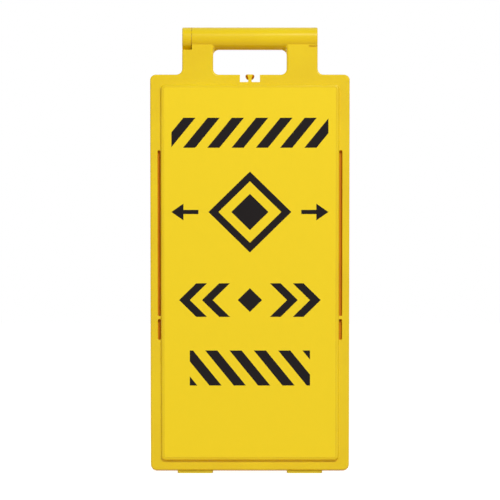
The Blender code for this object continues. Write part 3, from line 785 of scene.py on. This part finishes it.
def tab_stem():
    """The stem, which flares into the floor of the notch."""
    floor = -(SHOULDER_DROP + NOTCH_DEPTH)
    foot = TAB_STEM + 2 * TAB_FLARE
    return pulled(drawn(both_sides([
        (TAB_STEM, -SHOULDER_DROP - TAB_HEAD_HEIGHT / 2, 0),
        (TAB_STEM, floor - TAB_FOOT_SINK, TAB_FLARE),
        (foot, floor - TAB_FOOT_SINK, 0),
        (foot, floor - WALL / 2, 0),
    ])), TAB_FRONT - TAB_STEM_THICKNESS, TAB_FRONT)


def on_tab_flank(face):
    """Whether a face is one of the steep flanks of the tab's head."""
    place = face.calc_center_median()
    reach = TAB_DISC + TAB_FLARE
    return (abs(place.x) < reach and -reach < place.y + SHOULDER_DROP < 0.0
            and FLANK_FACING[0] < face.normal.z < FLANK_FACING[1])


print("tab in mm: head", round(2 * TAB_DISC / MM, 1), "stem", round(2 * TAB_STEM / MM, 1))

# %% [markdown]
# ## Slots, ears and tracks
#
# Two deep slots run along each side of the raised face, in front of the stay arms. They are blind: each has
# a floor and thin walls of its own, and a mouth with a small round. The tool that cuts one is lofted
# through rising outlines, because a bevel afterwards would also catch the edge that the slot shares with
# the raised face. Behind the rim the left side has an ear for one arm's pivot, and the right side has a
# long track in which the other arm's rivet slides as the stand folds. All of them hang on the same arm
# geometry, so it is worked out once, from the rivets of the frame.

# %% Arm geometry and side fittings
pivot_low, pivot_high = on_bench("left_pivot_rivet")
ARM_PIVOT_DROP = -(pivot_low.y + pivot_high.y) / 2
ARM_LENGTH = 260 * MM
SLOT_WIDTH = 4.2 * MM
SLOT_OFFSET = 0.2 * MM
SLOT_LEAD = 7.3 * MM
SLOT_START = 1.7 * MM
SLOT_TAIL = 3.4 * MM
SLOT_RIB = 4.8 * MM
SLOT_END_RADIUS = 1.5 * MM
SLOT_ROUND = 0.8 * MM
SLOT_WALL = 2 * MM
SLOT_FLOOR = 0.8 * MM
SLOT_BACK = 5.6 * MM
SLOT_CORNER_STEPS = 4
PLATE_THICKNESS = 2.8 * MM
PLATE_REACH = SLOT_BACK - FIT_GAP
RIVET_RADIUS = 2.5 * MM
TRACK_RADIUS = 3.2 * MM
RIVET_HEAD = 1.5 * MM
SKIRT_ROOM = 1 * MM

pivot_offset = ARM_PIVOT_DROP * sin(2 * LEAN)
TRACK_OPEN = ARM_PIVOT_DROP * cos(2 * LEAN) + sqrt(ARM_LENGTH ** 2 - pivot_offset ** 2)
TRACK_CLOSED = ARM_PIVOT_DROP + ARM_LENGTH
PLATE = half_width(TRACK_CLOSED) - WALL - SKIRT_ROOM - RIVET_HEAD - FIT_GAP - PLATE_THICKNESS
LONG_SLOT = (ARM_PIVOT_DROP - SLOT_LEAD, TRACK_OPEN - SLOT_START - SLOT_RIB)
SHORT_SLOT = (TRACK_OPEN - SLOT_START, TRACK_CLOSED + SLOT_TAIL)


def slot_corners(side, ends, wall, opening=0.0):
    """A slot that follows the raised face's slanting side, or the walls round it."""
    top, bottom = ends
    corners = []
    for drop, out, down in ((top, 0, -1), (top, 1, -1), (bottom, 1, 1), (bottom, 0, 1)):
        across = face_half(drop) + SLOT_OFFSET + (SLOT_WIDTH + opening) * out + wall * (2 * out - 1)
        corners.append((side * across, -(drop + (wall + opening) * down), SLOT_END_RADIUS + wall))
    return corners


def in_slot(place):
    """Whether a point of the tray lies on the floor or on a wall of one of the slots."""
    beside = abs(place.x) - face_half(-place.y) - SLOT_OFFSET
    return (-NEAR < beside < SLOT_WIDTH + NEAR and LONG_SLOT[0] < -place.y < SHORT_SLOT[1]
            and SLOT_BACK + SLOT_FLOOR - NEAR < place.z < RIM_DEPTH - SLOT_ROUND)


def slot_tool(side, ends):
    """The space of a slot, whose outer side and ends have a rounded edge at the front."""
    layers = []
    for depth, opening in [(SLOT_BACK + SLOT_FLOOR, 0.0), *rounded_mouth(SLOT_ROUND)]:
        layer = drawn(slot_corners(side, ends, 0.0, opening), SLOT_CORNER_STEPS)
        bmesh.ops.translate(layer, verts=layer.verts, vec=(0, 0, depth))
        layers.append(layer)
    return lofted(layers)


def lying(radius, left, right, top, bottom):
    """A flat bar with round ends that lies along the side, seen edge-on from the front."""
    shape = drawn([(-radius, -top + radius, radius), (radius, -top + radius, radius),
                   (radius, -bottom - radius, radius), (-radius, -bottom - radius, radius)])
    pulled(shape, left, right)
    quarter = Matrix.Rotation(radians(90), 3, "Y")
    bmesh.ops.rotate(shape, verts=shape.verts, cent=(0, 0, 0), matrix=quarter)
    return shape


def plate(left, right, top, bottom):
    """An ear or a track: a plate whose back edge is round, rooted in the rim."""
    back = lying(PLATE_REACH, left, right, top, bottom)
    root = block(left, right, -bottom - PLATE_REACH, -top + PLATE_REACH, 0.0, RIM_DEPTH - WALL / 2)
    return joined(back, root)


def with_sides(tray):
    outside = PLATE + PLATE_THICKNESS
    ear = plate(-outside, -PLATE, ARM_PIVOT_DROP, ARM_PIVOT_DROP)
    track = plate(PLATE, outside, TRACK_OPEN, TRACK_CLOSED)
    track_slot = lying(TRACK_RADIUS, PLATE - OVERLAP, outside + OVERLAP, TRACK_OPEN, TRACK_CLOSED)
    rivet_hole = round_bar(RIVET_RADIUS + FIT_GAP, -(outside + OVERLAP), -(PLATE - OVERLAP), PIN_SIDES,
                           -ARM_PIVOT_DROP)
    tray = cut(joined(tray, ear, track), track_slot, rivet_hole)
    for side in (-1, 1):
        outline = slot_corners(side, (LONG_SLOT[0], SHORT_SLOT[1]), SLOT_WALL)
        walls = pulled(drawn(outline, SLOT_CORNER_STEPS), SLOT_BACK, RIM_DEPTH - WALL / 2)
        tray = joined(tray, walls)
        tray = cut(tray, slot_tool(side, LONG_SLOT), slot_tool(side, SHORT_SLOT))
    return tray


print("track in mm below the hinge:", round(TRACK_OPEN / MM, 1), "to", round(TRACK_CLOSED / MM, 1))

# %% [markdown]
# ## The webs in the tube and the foot holes
#
# Discs across the inside of the tube carry the steel rod, a spigot on the knuckle closes the hinge's gap
# to the eye, and two holes through the base wall take the stems of the foot pads.

# %% Tube webs, rod hole and foot holes
ROD_HOLE = 5.3 * MM
SPIGOT_STEP = 1.5 * MM
WEB_THICKNESS = 3 * MM
WEB_STEP = 0.2 * MM
WEB_COUNT = 4
STEM_RADIUS = 3 * MM
foot_low, foot_high = on_bench("front_right_foot")
FOOT = (foot_low.x + foot_high.x) / 2
FOOT_DEPTH_CENTRE = (BACK_GAP + RIM_DEPTH - WALL) / 2


def up_the_panel(across, up):
    """Where a pin up the panel has its middle, in the depth of the base wall."""
    return Matrix.Translation((across, up, FOOT_DEPTH_CENTRE)) @ Matrix.Rotation(pi / 2, 4, "X")


def tube_web(centre):
    """A disc that is fused to its own half of the tube and runs clear of the other half."""
    half = WEB_THICKNESS / 2
    rim = round_bar(BORE_RADIUS + TUBE_WALL / 2, -half, half, TUBE_SIDES)
    disc = round_bar(BORE_RADIUS - FIT_GAP, -half - WEB_STEP, half + WEB_STEP, TUBE_SIDES)
    others = []
    for turn in (1.5 * LEAN, 0.0, -1.5 * LEAN):
        other = block(-half - OVERLAP, half + OVERLAP, -FAR, FAR, -FAR, 0.0)
        bmesh.ops.rotate(other, verts=other.verts, cent=(0, 0, 0), matrix=Matrix.Rotation(turn, 3, "X"))
        others.append(other)
    web = joined(cut(rim, *others), disc)
    bmesh.ops.translate(web, verts=web.verts, vec=(centre, 0, 0))
    return web


def with_webs(tray):
    pitch = 2 * (HALF_TUBE - 2 * WEB_THICKNESS) / (WEB_COUNT - 0.5)
    first = (WEB_COUNT - 1.5) * pitch / 2
    webs = [tube_web(first - pitch * index) for index in range(WEB_COUNT)]
    spigot = round_bar(TUBE_RADIUS - SPIGOT_STEP, HALF_TUBE + FIT_GAP, KNUCKLE + WEB_THICKNESS, TUBE_SIDES)
    tray = joined(tray, *webs, spigot)
    holes = [round_bar(ROD_HOLE, -NECK - OVERLAP, NECK + OVERLAP, PIN_SIDES)]
    for side in (-1, 1):
        place = up_the_panel(side * FOOT, -PANEL_DROP)
        holes.append(cylinder(STEM_RADIUS + FIT_GAP, 2 * (WALL + OVERLAP), place))
    return cut(tray, *holes)


print("foot holes in mm from the middle:", round(FOOT / MM, 1))

# %% [markdown]
# ## Finishing a piece
#
# A finished shape goes to its place in the room through its bench matrix, gets its material, and rides on
# its body. Faces are shaded smooth with sharp edges kept, and a Weighted Normal modifier keeps the large
# flat faces flat while the bevels carry the roundness.

# %% The finishing step
SHARP_ANGLE = radians(35)


def finished(name, shape, matrix, material, body, replaced=()):
    """Places a shape, and makes it a piece of the stand."""
    bmesh.ops.transform(shape, matrix=matrix, verts=shape.verts)
    piece = as_object(name, shape)
    piece.data.materials.append(material)
    piece.data.shade_smooth()
    piece.data.set_sharp_from_angle(angle=SHARP_ANGLE)
    normals = piece.modifiers.new("even shading", "WEIGHTED_NORMAL")
    normals.keep_sharp = True
    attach(piece, body)
    if replaced:
        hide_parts(*replaced)
    return piece


print("edges stay sharp above", round(degrees(SHARP_ANGLE)), "degrees")

# %% [markdown]
# ## The two trays
#
# Now the steps above run in a row. The tray is made once and placed twice, because the real stand uses one
# mould for both. A union or a cut that fails leaves open edges, so they are counted. Each face gets the
# material of the surface that it lies on: grained outside, painted shade in the slots and on the tab's
# flanks, or the inner side. The inner side never faces forwards, which tells it from the rim's own front.

# %% Both trays
GRAINED, PAINTED_SHADE, INNER_SIDE = range(3)
TRAY_MATERIALS = (plastic, plastic_painted_shade, plastic_inner)
FORWARD = 0.5


# The slots and the tab's flanks get the painted shade material, a darker orange in place of the shade in
# those hollows.
def surface_of(face):
    middle = face.calc_center_median()
    if in_slot(middle) or on_tab_flank(face):
        return PAINTED_SHADE
    return INNER_SIDE if in_hollow(middle) and face.normal.z < FORWARD else GRAINED


tray = with_face(with_tube(body()))
tray = joined(hollowed(tray), tab_head(), tab_stem())
tray = with_webs(with_sides(tray))
for face in tray.faces:
    face.material_index = surface_of(face)
open_edges = sum(1 for edge in tray.edges if len(edge.link_faces) != 2)
print("tray faces:", len(tray.faces), "edges that aren't shared by two faces:", open_edges)

for side in ("front", "rear"):
    piece = finished(side + "_tray", tray.copy(), BENCH[side], TRAY_MATERIALS[GRAINED], side + "_leaf",
                     [side + "_panel"])
    for material in TRAY_MATERIALS[PAINTED_SHADE:]:
        piece.data.materials.append(material)
tray.free()

# %% [markdown]
# ## The stay arms
#
# Each arm is a moulded bar that turns on a rivet on one tray and slides on a rivet in the other tray's
# track. It lies at a slant in the room, so it gets a bench of its own, whose z points out of the stand
# and whose y runs from the slide rivet to the pivot rivet. Both faces have a shallow panel, as mouldings
# of this kind do, so that the bar is stiff without a thick middle that would sink.

# %% Arm bench and arms
ARM_HALF = 5 * MM
ARM_PANEL_HALF = 3 * MM
ARM_PANEL_DEPTH = 0.8 * MM
ARM_PANEL_END = 14 * MM
ARM_EDGE = 0.5 * MM
ARM_EDGE_ANGLE = radians(60)


def centre_of(node):
    low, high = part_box(node)
    return (low + high) / 2


def outward_bench(origin, outward, up):
    """A bench at the stand's middle plane whose z points outwards, left or right."""
    across = up.cross(outward)
    turn = Matrix((across, up, outward)).transposed().to_4x4()
    return Matrix.Translation((0.0, origin.y, origin.z)) @ turn


def arm_bench(hand):
    pivot, slide = centre_of(hand + "_pivot_rivet"), centre_of(hand + "_slide_rivet")
    outward = Vector((1.0 if pivot.x > 0 else -1.0, 0.0, 0.0))
    return outward_bench(pivot, outward, (pivot - slide).normalized())


def reach_of(node):
    """How near and how far from the stand's middle plane a side piece lies."""
    low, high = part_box(node)
    return min(abs(low.x), abs(high.x)), max(abs(low.x), abs(high.x))


def pill(half, top, bottom, inner, outer):
    """A flat bar with round ends, along y."""
    return pulled(drawn([(half, top, half), (half, bottom, half), (-half, bottom, half), (-half, top, half)]),
                  inner, outer)


def rivet_bore(up, inner, outer):
    """The space of a rivet's shank through an arm."""
    middle = Matrix.Translation((0.0, up, (inner + outer) / 2))
    return cylinder(RIVET_RADIUS + FIT_GAP, outer - inner, middle)


def arm(hand):
    inner, outer = reach_of(hand + "_arm")
    bar = pill(ARM_HALF, ARM_HALF, -ARM_LENGTH - ARM_HALF, inner, outer)
    panel_ends = (-ARM_PANEL_END, -ARM_LENGTH + ARM_PANEL_END)
    bar = cut(bar,
              pill(ARM_PANEL_HALF, *panel_ends, inner - OVERLAP, inner + ARM_PANEL_DEPTH),
              pill(ARM_PANEL_HALF, *panel_ends, outer - ARM_PANEL_DEPTH, outer + OVERLAP),
              rivet_bore(0.0, inner - OVERLAP, outer + OVERLAP),
              rivet_bore(-ARM_LENGTH, inner - OVERLAP, outer + OVERLAP))
    return soften(bar, ARM_EDGE, 3, sharper_than=ARM_EDGE_ANGLE)


for hand in ("left", "right"):
    finished(hand + "_stay_arm", arm(hand), arm_bench(hand), plastic_smooth, hand + "_stay",
             [hand + "_arm"])
print("arm in mm between the rivets:", round(ARM_LENGTH / MM, 1))

# %% [markdown]
# ## Rivets and washers
#
# A rivet's head is set by a tool that leaves a low dome. The profile is drawn with square corners and
# spun, and the dome is then a wide bevel of the head's outer ring. Spinning a profile is the shortest way
# to any turned part, and the bevel keeps the profile down to the sizes that matter.

# %% Rivets and washers
HEAD_RADIUS = 4.5 * MM
HEAD_DOME = 1.3 * MM
WASHER_EDGE = 0.25 * MM
TURN_STEPS = 40


def rivet(node):
    inner, outer = reach_of(node)
    shape = spun([
        (0.0, inner), (HEAD_RADIUS, inner),
        (HEAD_RADIUS, inner + RIVET_HEAD), (RIVET_RADIUS, inner + RIVET_HEAD),
        (RIVET_RADIUS, outer - RIVET_HEAD), (HEAD_RADIUS, outer - RIVET_HEAD),
        (HEAD_RADIUS, outer), (0.0, outer),
    ], TURN_STEPS)
    return soften(shape, HEAD_DOME, 4, lambda place: place.z < inner + TOUCH or place.z > outer - TOUCH)


def washer(node):
    inner, outer = reach_of(node)
    low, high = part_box(node)
    wide = (high.y - low.y) / 2
    hole = RIVET_RADIUS + FIT_GAP
    ring = spun([(hole, inner), (wide, inner), (wide, outer), (hole, outer), (hole, inner)], TURN_STEPS)
    return soften(ring, WASHER_EDGE, 2)


for hand in ("left", "right"):
    for end, down in (("_pivot", 0.0), ("_slide", -ARM_LENGTH)):
        bench = arm_bench(hand) @ Matrix.Translation((0.0, down, 0.0))
        for kind, make in (("_rivet", rivet), ("_washer", washer)):
            node_name = hand + end + kind
            finished(node_name + "_turned", make(node_name), bench, zinc, hand + "_stay",
                     [node_name])
print("rivet heads in mm:", round(2 * HEAD_RADIUS / MM, 1), "shanks:", round(2 * RIVET_RADIUS / MM, 1))

# %% [markdown]
# ## Hinge caps
#
# A cap plugs each end of the hinge tube and holds the rod's end in a hub. Its face is dished a little
# inside a raised lip. It is one spun profile, walked from the middle of the face round to the socket.

# %% Hinge caps
CAP_THICKNESS = 2.5 * MM
CAP_DISH = 0.8 * MM
CAP_LIP = 3 * MM
HUB_WALL = 2.5 * MM
CAP_EDGE = 0.35 * MM


def hinge_cap(node):
    inner, outer = reach_of(node)
    radius = BORE_RADIUS - FIT_GAP
    back = outer - CAP_THICKNESS
    hub = ROD_HOLE + HUB_WALL
    shape = spun([
        (0.0, outer - CAP_DISH), (radius - CAP_LIP - CAP_DISH, outer - CAP_DISH), (radius - CAP_LIP, outer),
        (radius, outer), (radius, back), (hub, back), (hub, inner),
        (ROD_HOLE, inner), (ROD_HOLE, back), (0.0, back),
    ], TURN_STEPS)
    return soften(shape, CAP_EDGE, 3)


for hand, side, outward in (("left", "rear", -1.0), ("right", "front", 1.0)):
    node_name = "rod_cap_" + hand
    bench = outward_bench(hinge, Vector((outward, 0.0, 0.0)), Vector((0.0, 0.0, 1.0)))
    finished("hinge_cap_" + hand, hinge_cap(node_name), bench, plastic_smooth, side + "_leaf",
             [node_name])
print("caps in mm:", round(2 * (BORE_RADIUS - FIT_GAP) / MM, 1))

# %% [markdown]
# ## Foot pads
#
# A pad has a wide tier that is let a little into the tray's base, a narrower one below it, and a stem that
# snaps through the base wall. The panel leans, so the pad's sole is cut at a slant: the pad is made too long
# and cut off with bisect_plane in the plane of the floor, which is the surest way to make four soles level.

# %% Foot pads
PAD_SEAT = 1.5 * MM
TIER_HEIGHT = 1.4 * MM
TIER_INSET = 1.3 * MM
PAD_EDGE = 0.35 * MM
STEM_HEAD_RADIUS = 3.9 * MM
STEM_HEAD = 2.2 * MM
STEM_HEAD_ROUND = 0.8 * MM


def standing_pin(radius, across, bottom, top):
    """A cylinder up the panel, along a bench's y."""
    return cylinder(radius, top - bottom, up_the_panel(across, (bottom + top) / 2))


def foot_pad(node, side):
    low, high = on_bench(node, side)
    middle = (low.x + high.x) / 2
    top = -(PANEL_DROP - PAD_SEAT)
    step = -(PANEL_DROP + FIT_GAP + TIER_HEIGHT)
    tier = block(low.x, high.x, step, top, low.z, high.z)
    sole = block(low.x + TIER_INSET, high.x - TIER_INSET, low.y - 2 * TIER_HEIGHT, step + OVERLAP / 2,
                 low.z + TIER_INSET / 2, high.z - TIER_INSET / 2)
    pad = joined(tier, sole)
    to_bench = BENCH[side].inverted()
    sliced(pad, to_bench @ Vector((0, 0, 0)), to_bench.to_3x3() @ Vector((0, 0, 1)), clear_inner=True)
    soften(pad, PAD_EDGE, 3)
    base = -(PANEL_DROP - WALL - FIT_GAP)
    stem = standing_pin(STEM_RADIUS, middle, top - OVERLAP / 2, base + STEM_HEAD / 2)
    head = soften(standing_pin(STEM_HEAD_RADIUS, middle, base, base + STEM_HEAD), STEM_HEAD_ROUND, 3)
    return joined(pad, stem, head)


for side in ("front", "rear"):
    for hand in ("left", "right"):
        node_name = side + "_" + hand + "_foot"
        finished(node_name + "_pad", foot_pad(node_name, side), BENCH[side], rubber, side + "_leaf",
                 [node_name])
print("a pad is let into the base by", round(PAD_SEAT / MM, 1), "mm")

# %% [markdown]
# ## The print
#
# The sheet carries a plain geometric design in black ink: bands of slanted stripes, a diamond with an
# arrow on each side, and a row of chevrons. Screen ink stands up a little from the sheet, so each mark
# is a thin closed solid rather than a colour in a texture. That keeps its edges crisp at any distance
# and needs no image. Slanted stripes are drawn past the band's ends and cut off straight with
# bisect_plane.

# %% Ink marks
INK_HEIGHT = 0.08 * MM
INK_ROOT = 0.05 * MM


def mark(points):
    """A closed ink solid with (across, down) corners, in millimetres from the panel's middle and hinge."""
    shape = drawn([(across * MM, -down * MM, 0) for across, down in points])
    return pulled(shape, FACE_DEPTH - INK_ROOT, FACE_DEPTH + INK_HEIGHT)


def mirrored_mark(points):
    """The same mark on the left and on the right."""
    left = [(-across, down) for across, down in reversed(points)]
    return [mark(points), mark(left)]


def striped_band(half, top, bottom, stripe, lean):
    """Slanted stripes between two straight ends."""
    slant = lean * (bottom - top)
    count = int(half / stripe) + 2
    stripes = []
    for index in range(-count, count + 1):
        left = (2 * index - 0.5) * stripe
        shape = mark([(left + slant / 2, top), (left + stripe + slant / 2, top),
                      (left + stripe - slant / 2, bottom), (left - slant / 2, bottom)])
        for end in (-1, 1):
            sliced(shape, (end * half * MM, 0, 0), (end, 0, 0), clear_outer=True)
        if shape.faces:
            stripes.append(shape)
    return stripes


def diamond(half, down):
    return mark([(0, down - half), (half, down), (0, down + half), (-half, down)])


def diamond_ring(half, hole, down):
    """Two bent halves, so that the ring needs no face with a hole in it."""
    return mirrored_mark([(0, down - half), (half, down), (0, down + half),
                          (0, down + hole), (hole, down), (0, down - hole)])


def arrow(tail, tip, down, shaft, head, head_length):
    """An arrow that points away from the middle, on both sides."""
    neck = tip - head_length
    return mirrored_mark([(tail, down - shaft), (neck, down - shaft), (neck, down - head), (tip, down),
                          (neck, down + head), (neck, down + shaft), (tail, down + shaft)])


def chevron(tail, top, bottom, thickness):
    """A chevron that points away from the middle, on both sides."""
    middle = (top + bottom) / 2
    point = (bottom - top) / 2
    return mirrored_mark([(tail, top), (tail + thickness, top), (tail + thickness + point, middle),
                          (tail + thickness, bottom), (tail, bottom), (tail + point, middle)])


def printed_marks():
    """The whole design as one mesh, and the number of its marks. The sizes are in millimetres."""
    marks = striped_band(half=110, top=117, bottom=160, stripe=17, lean=0.8)
    marks += diamond_ring(half=58, hole=44, down=252) + [diamond(half=26, down=252)]
    marks += arrow(tail=72, tip=110, down=252, shaft=3, head=12, head_length=17)
    marks += [diamond(half=17, down=378)]
    for tail in (28, 60):
        marks += chevron(tail, top=354, bottom=402, thickness=15)
    marks += striped_band(half=84, top=450, bottom=500, stripe=17, lean=-0.8)
    count = len(marks)
    sheet = gathered(marks)
    bmesh.ops.recalc_face_normals(sheet, faces=sheet.faces)
    return sheet, count


for side in ("front", "rear"):
    marks_mesh, mark_count = printed_marks()
    finished(side + "_print", marks_mesh, BENCH[side], ink, side + "_leaf")
print("ink marks on each sheet:", mark_count)

# %% [markdown]
# ## Camera
#
# The photograph was taken from straight in front, with a lens so long that nothing converges. The camera
# stands 30 m away and level, and its lens is worked out from the size of one pixel on the object.

# %% Camera
PIXELS = 500
PIXEL_SIZE = 1.403 * MM
CAMERA_DISTANCE = 30.0
HINGE_PIXEL = 38.9
CENTRE_PIXEL = 249.9
SENSOR_WIDTH = 36.0
VIEW_LIMIT = 200.0

camera_data = bpy.data.cameras.new("camera")
camera_data.sensor_width = SENSOR_WIDTH
camera_data.lens = camera_data.sensor_width * CAMERA_DISTANCE / (PIXELS * PIXEL_SIZE)
camera_data.clip_end = VIEW_LIMIT
camera = bpy.data.objects.new("camera", camera_data)
bpy.context.scene.collection.objects.link(camera)
camera_height = hinge.z - (PIXELS / 2 - HINGE_PIXEL) * PIXEL_SIZE
camera.location = ((PIXELS / 2 - CENTRE_PIXEL) * PIXEL_SIZE, -CAMERA_DISTANCE, camera_height)
camera.rotation_euler = (radians(90), 0, 0)
bpy.context.scene.camera = camera
bpy.context.scene.view_settings.view_transform = "Standard"
print("lens in mm:", round(camera_data.lens), "camera height:", round(camera_height, 4))

# %% [markdown]
# ## Light and background
#
# A soft lamp high in front and to the right is the key. It puts the bright band on the upper part of the
# tube and leaves the lower edge of the raised face in shade. A small, weak lamp just above the tube
# sharpens that band, and a third lamp behind gives the rear panel its form. It stays out of reflections,
# where it would glint in the grip opening. No lamp shows to the camera.
#
# The world fills the rest. It is bright at the horizon and dark overhead, so that faces that look up aren't
# washed out. To the camera, and in gloss, the world and the floor are white, while as a light they are
# dimmer. Light that bounces between a yellow thing and the floor turns warm, so the floor's own colour is a
# pale warm one, and a glow that only direct rays see lifts it to white but keeps the faint shadow.

# %% Lamps
STAND_MIDDLE = Vector((0.0, -0.05, 0.3))
KEY_PLACE = Vector((3.0, -8.4, 8.2))
ACCENT_PLACE = Vector((0.09, -0.3, 0.93))
BACK_PLACE = Vector((-3.6, 5.2, 1.5))


def soft_lamp(name, place, target, power, size):
    data = bpy.data.lights.new(name, "AREA")
    data.energy = power
    data.shape = "DISK"
    data.size = size
    lamp = bpy.data.objects.new(name, data)
    lamp.location = place
    lamp.rotation_euler = (target - place).to_track_quat("-Z", "Y").to_euler()
    lamp.visible_camera = False
    bpy.context.scene.collection.objects.link(lamp)
    return lamp


soft_lamp("key_lamp", KEY_PLACE, STAND_MIDDLE, power=770.0, size=2.7)
soft_lamp("accent_lamp", ACCENT_PLACE, hinge, power=0.14, size=0.1)
back_lamp = soft_lamp("back_lamp", BACK_PLACE, STAND_MIDDLE, power=160.0, size=1.6)
back_lamp.visible_glossy = False
print("key lamp in metres from the stand:", round((KEY_PLACE - STAND_MIDDLE).length, 1))

# %% World
HORIZON_FILL = 0.90
ZENITH_FILL = 0.02
WHITE = (1.0, 1.0, 1.0, 1.0)


def seen_directly(tree):
    """1 for rays that show the surface itself: camera, glossy and transmission rays."""
    path = add_node(tree, "ShaderNodeLightPath").outputs
    seen = path["Is Camera Ray"]
    for ray in ("Is Glossy Ray", "Is Transmission Ray"):
        either = add_node(tree, "ShaderNodeMath", {"operation": "MAXIMUM"}, (seen, path[ray]))
        seen = either.outputs["Value"]
    return seen


world = bpy.data.worlds.new("studio")
world.use_nodes = True
bpy.context.scene.world = world
background = world.node_tree.nodes["Background"]
direction = add_node(world.node_tree, "ShaderNodeTexCoord").outputs["Generated"]
height = add_node(world.node_tree, "ShaderNodeSeparateXYZ", Vector=direction).outputs["Z"]
fill = add_node(world.node_tree, "ShaderNodeMapRange", Value=height, To_Min=HORIZON_FILL, To_Max=ZENITH_FILL)
strength = add_node(world.node_tree, "ShaderNodeMapRange", Value=seen_directly(world.node_tree),
                    To_Min=fill.outputs["Result"], To_Max=1.0)
world.node_tree.links.new(strength.outputs["Result"], background.inputs["Strength"])
background.inputs["Color"].default_value = WHITE
print("world strength at the horizon:", HORIZON_FILL, "overhead:", ZENITH_FILL)

# %% Floor
FLOOR_SIZE = 120.0
FLOOR_COLOUR = (0.66, 0.44, 0.31, 1.0)
FLOOR_GLOW = 0.91

floor_shape = bmesh.new()
bmesh.ops.create_grid(floor_shape, x_segments=1, y_segments=1, size=FLOOR_SIZE / 2)
floor = as_object("floor", floor_shape)
floor_material = bpy.data.materials.new("pale_studio_floor")
floor_material.use_nodes = True
floor_tree = floor_material.node_tree
floor_shader = floor_tree.nodes["Principled BSDF"]
floor_shader.inputs["Roughness"].default_value = 1.0
floor_shader.inputs["Specular IOR Level"].default_value = 0.0
floor_shader.inputs["Base Color"].default_value = FLOOR_COLOUR
floor_shader.inputs["Emission Color"].default_value = WHITE
glow = add_node(floor_tree, "ShaderNodeMath", {"operation": "MULTIPLY"},
                (seen_directly(floor_tree), FLOOR_GLOW))
floor_tree.links.new(glow.outputs["Value"], floor_shader.inputs["Emission Strength"])
floor.data.materials.append(floor_material)
print("floor side in metres:", FLOOR_SIZE)

# %% [markdown]
# ## Finish
#
# The labels and the rod are good as they were packed and only need a material. The replaced nodes get one
# too, by the last word of their names.

# %% Materials of the imported pieces and the end
NODE_MATERIALS = {"label": vinyl, "foot": rubber, "rivet": zinc, "washer": zinc, "rod": zinc}

for name, node in frame["nodes"].items():
    node.data.materials.clear()
    node.data.materials.append(NODE_MATERIALS.get(name.split("_")[-1], plastic_smooth))
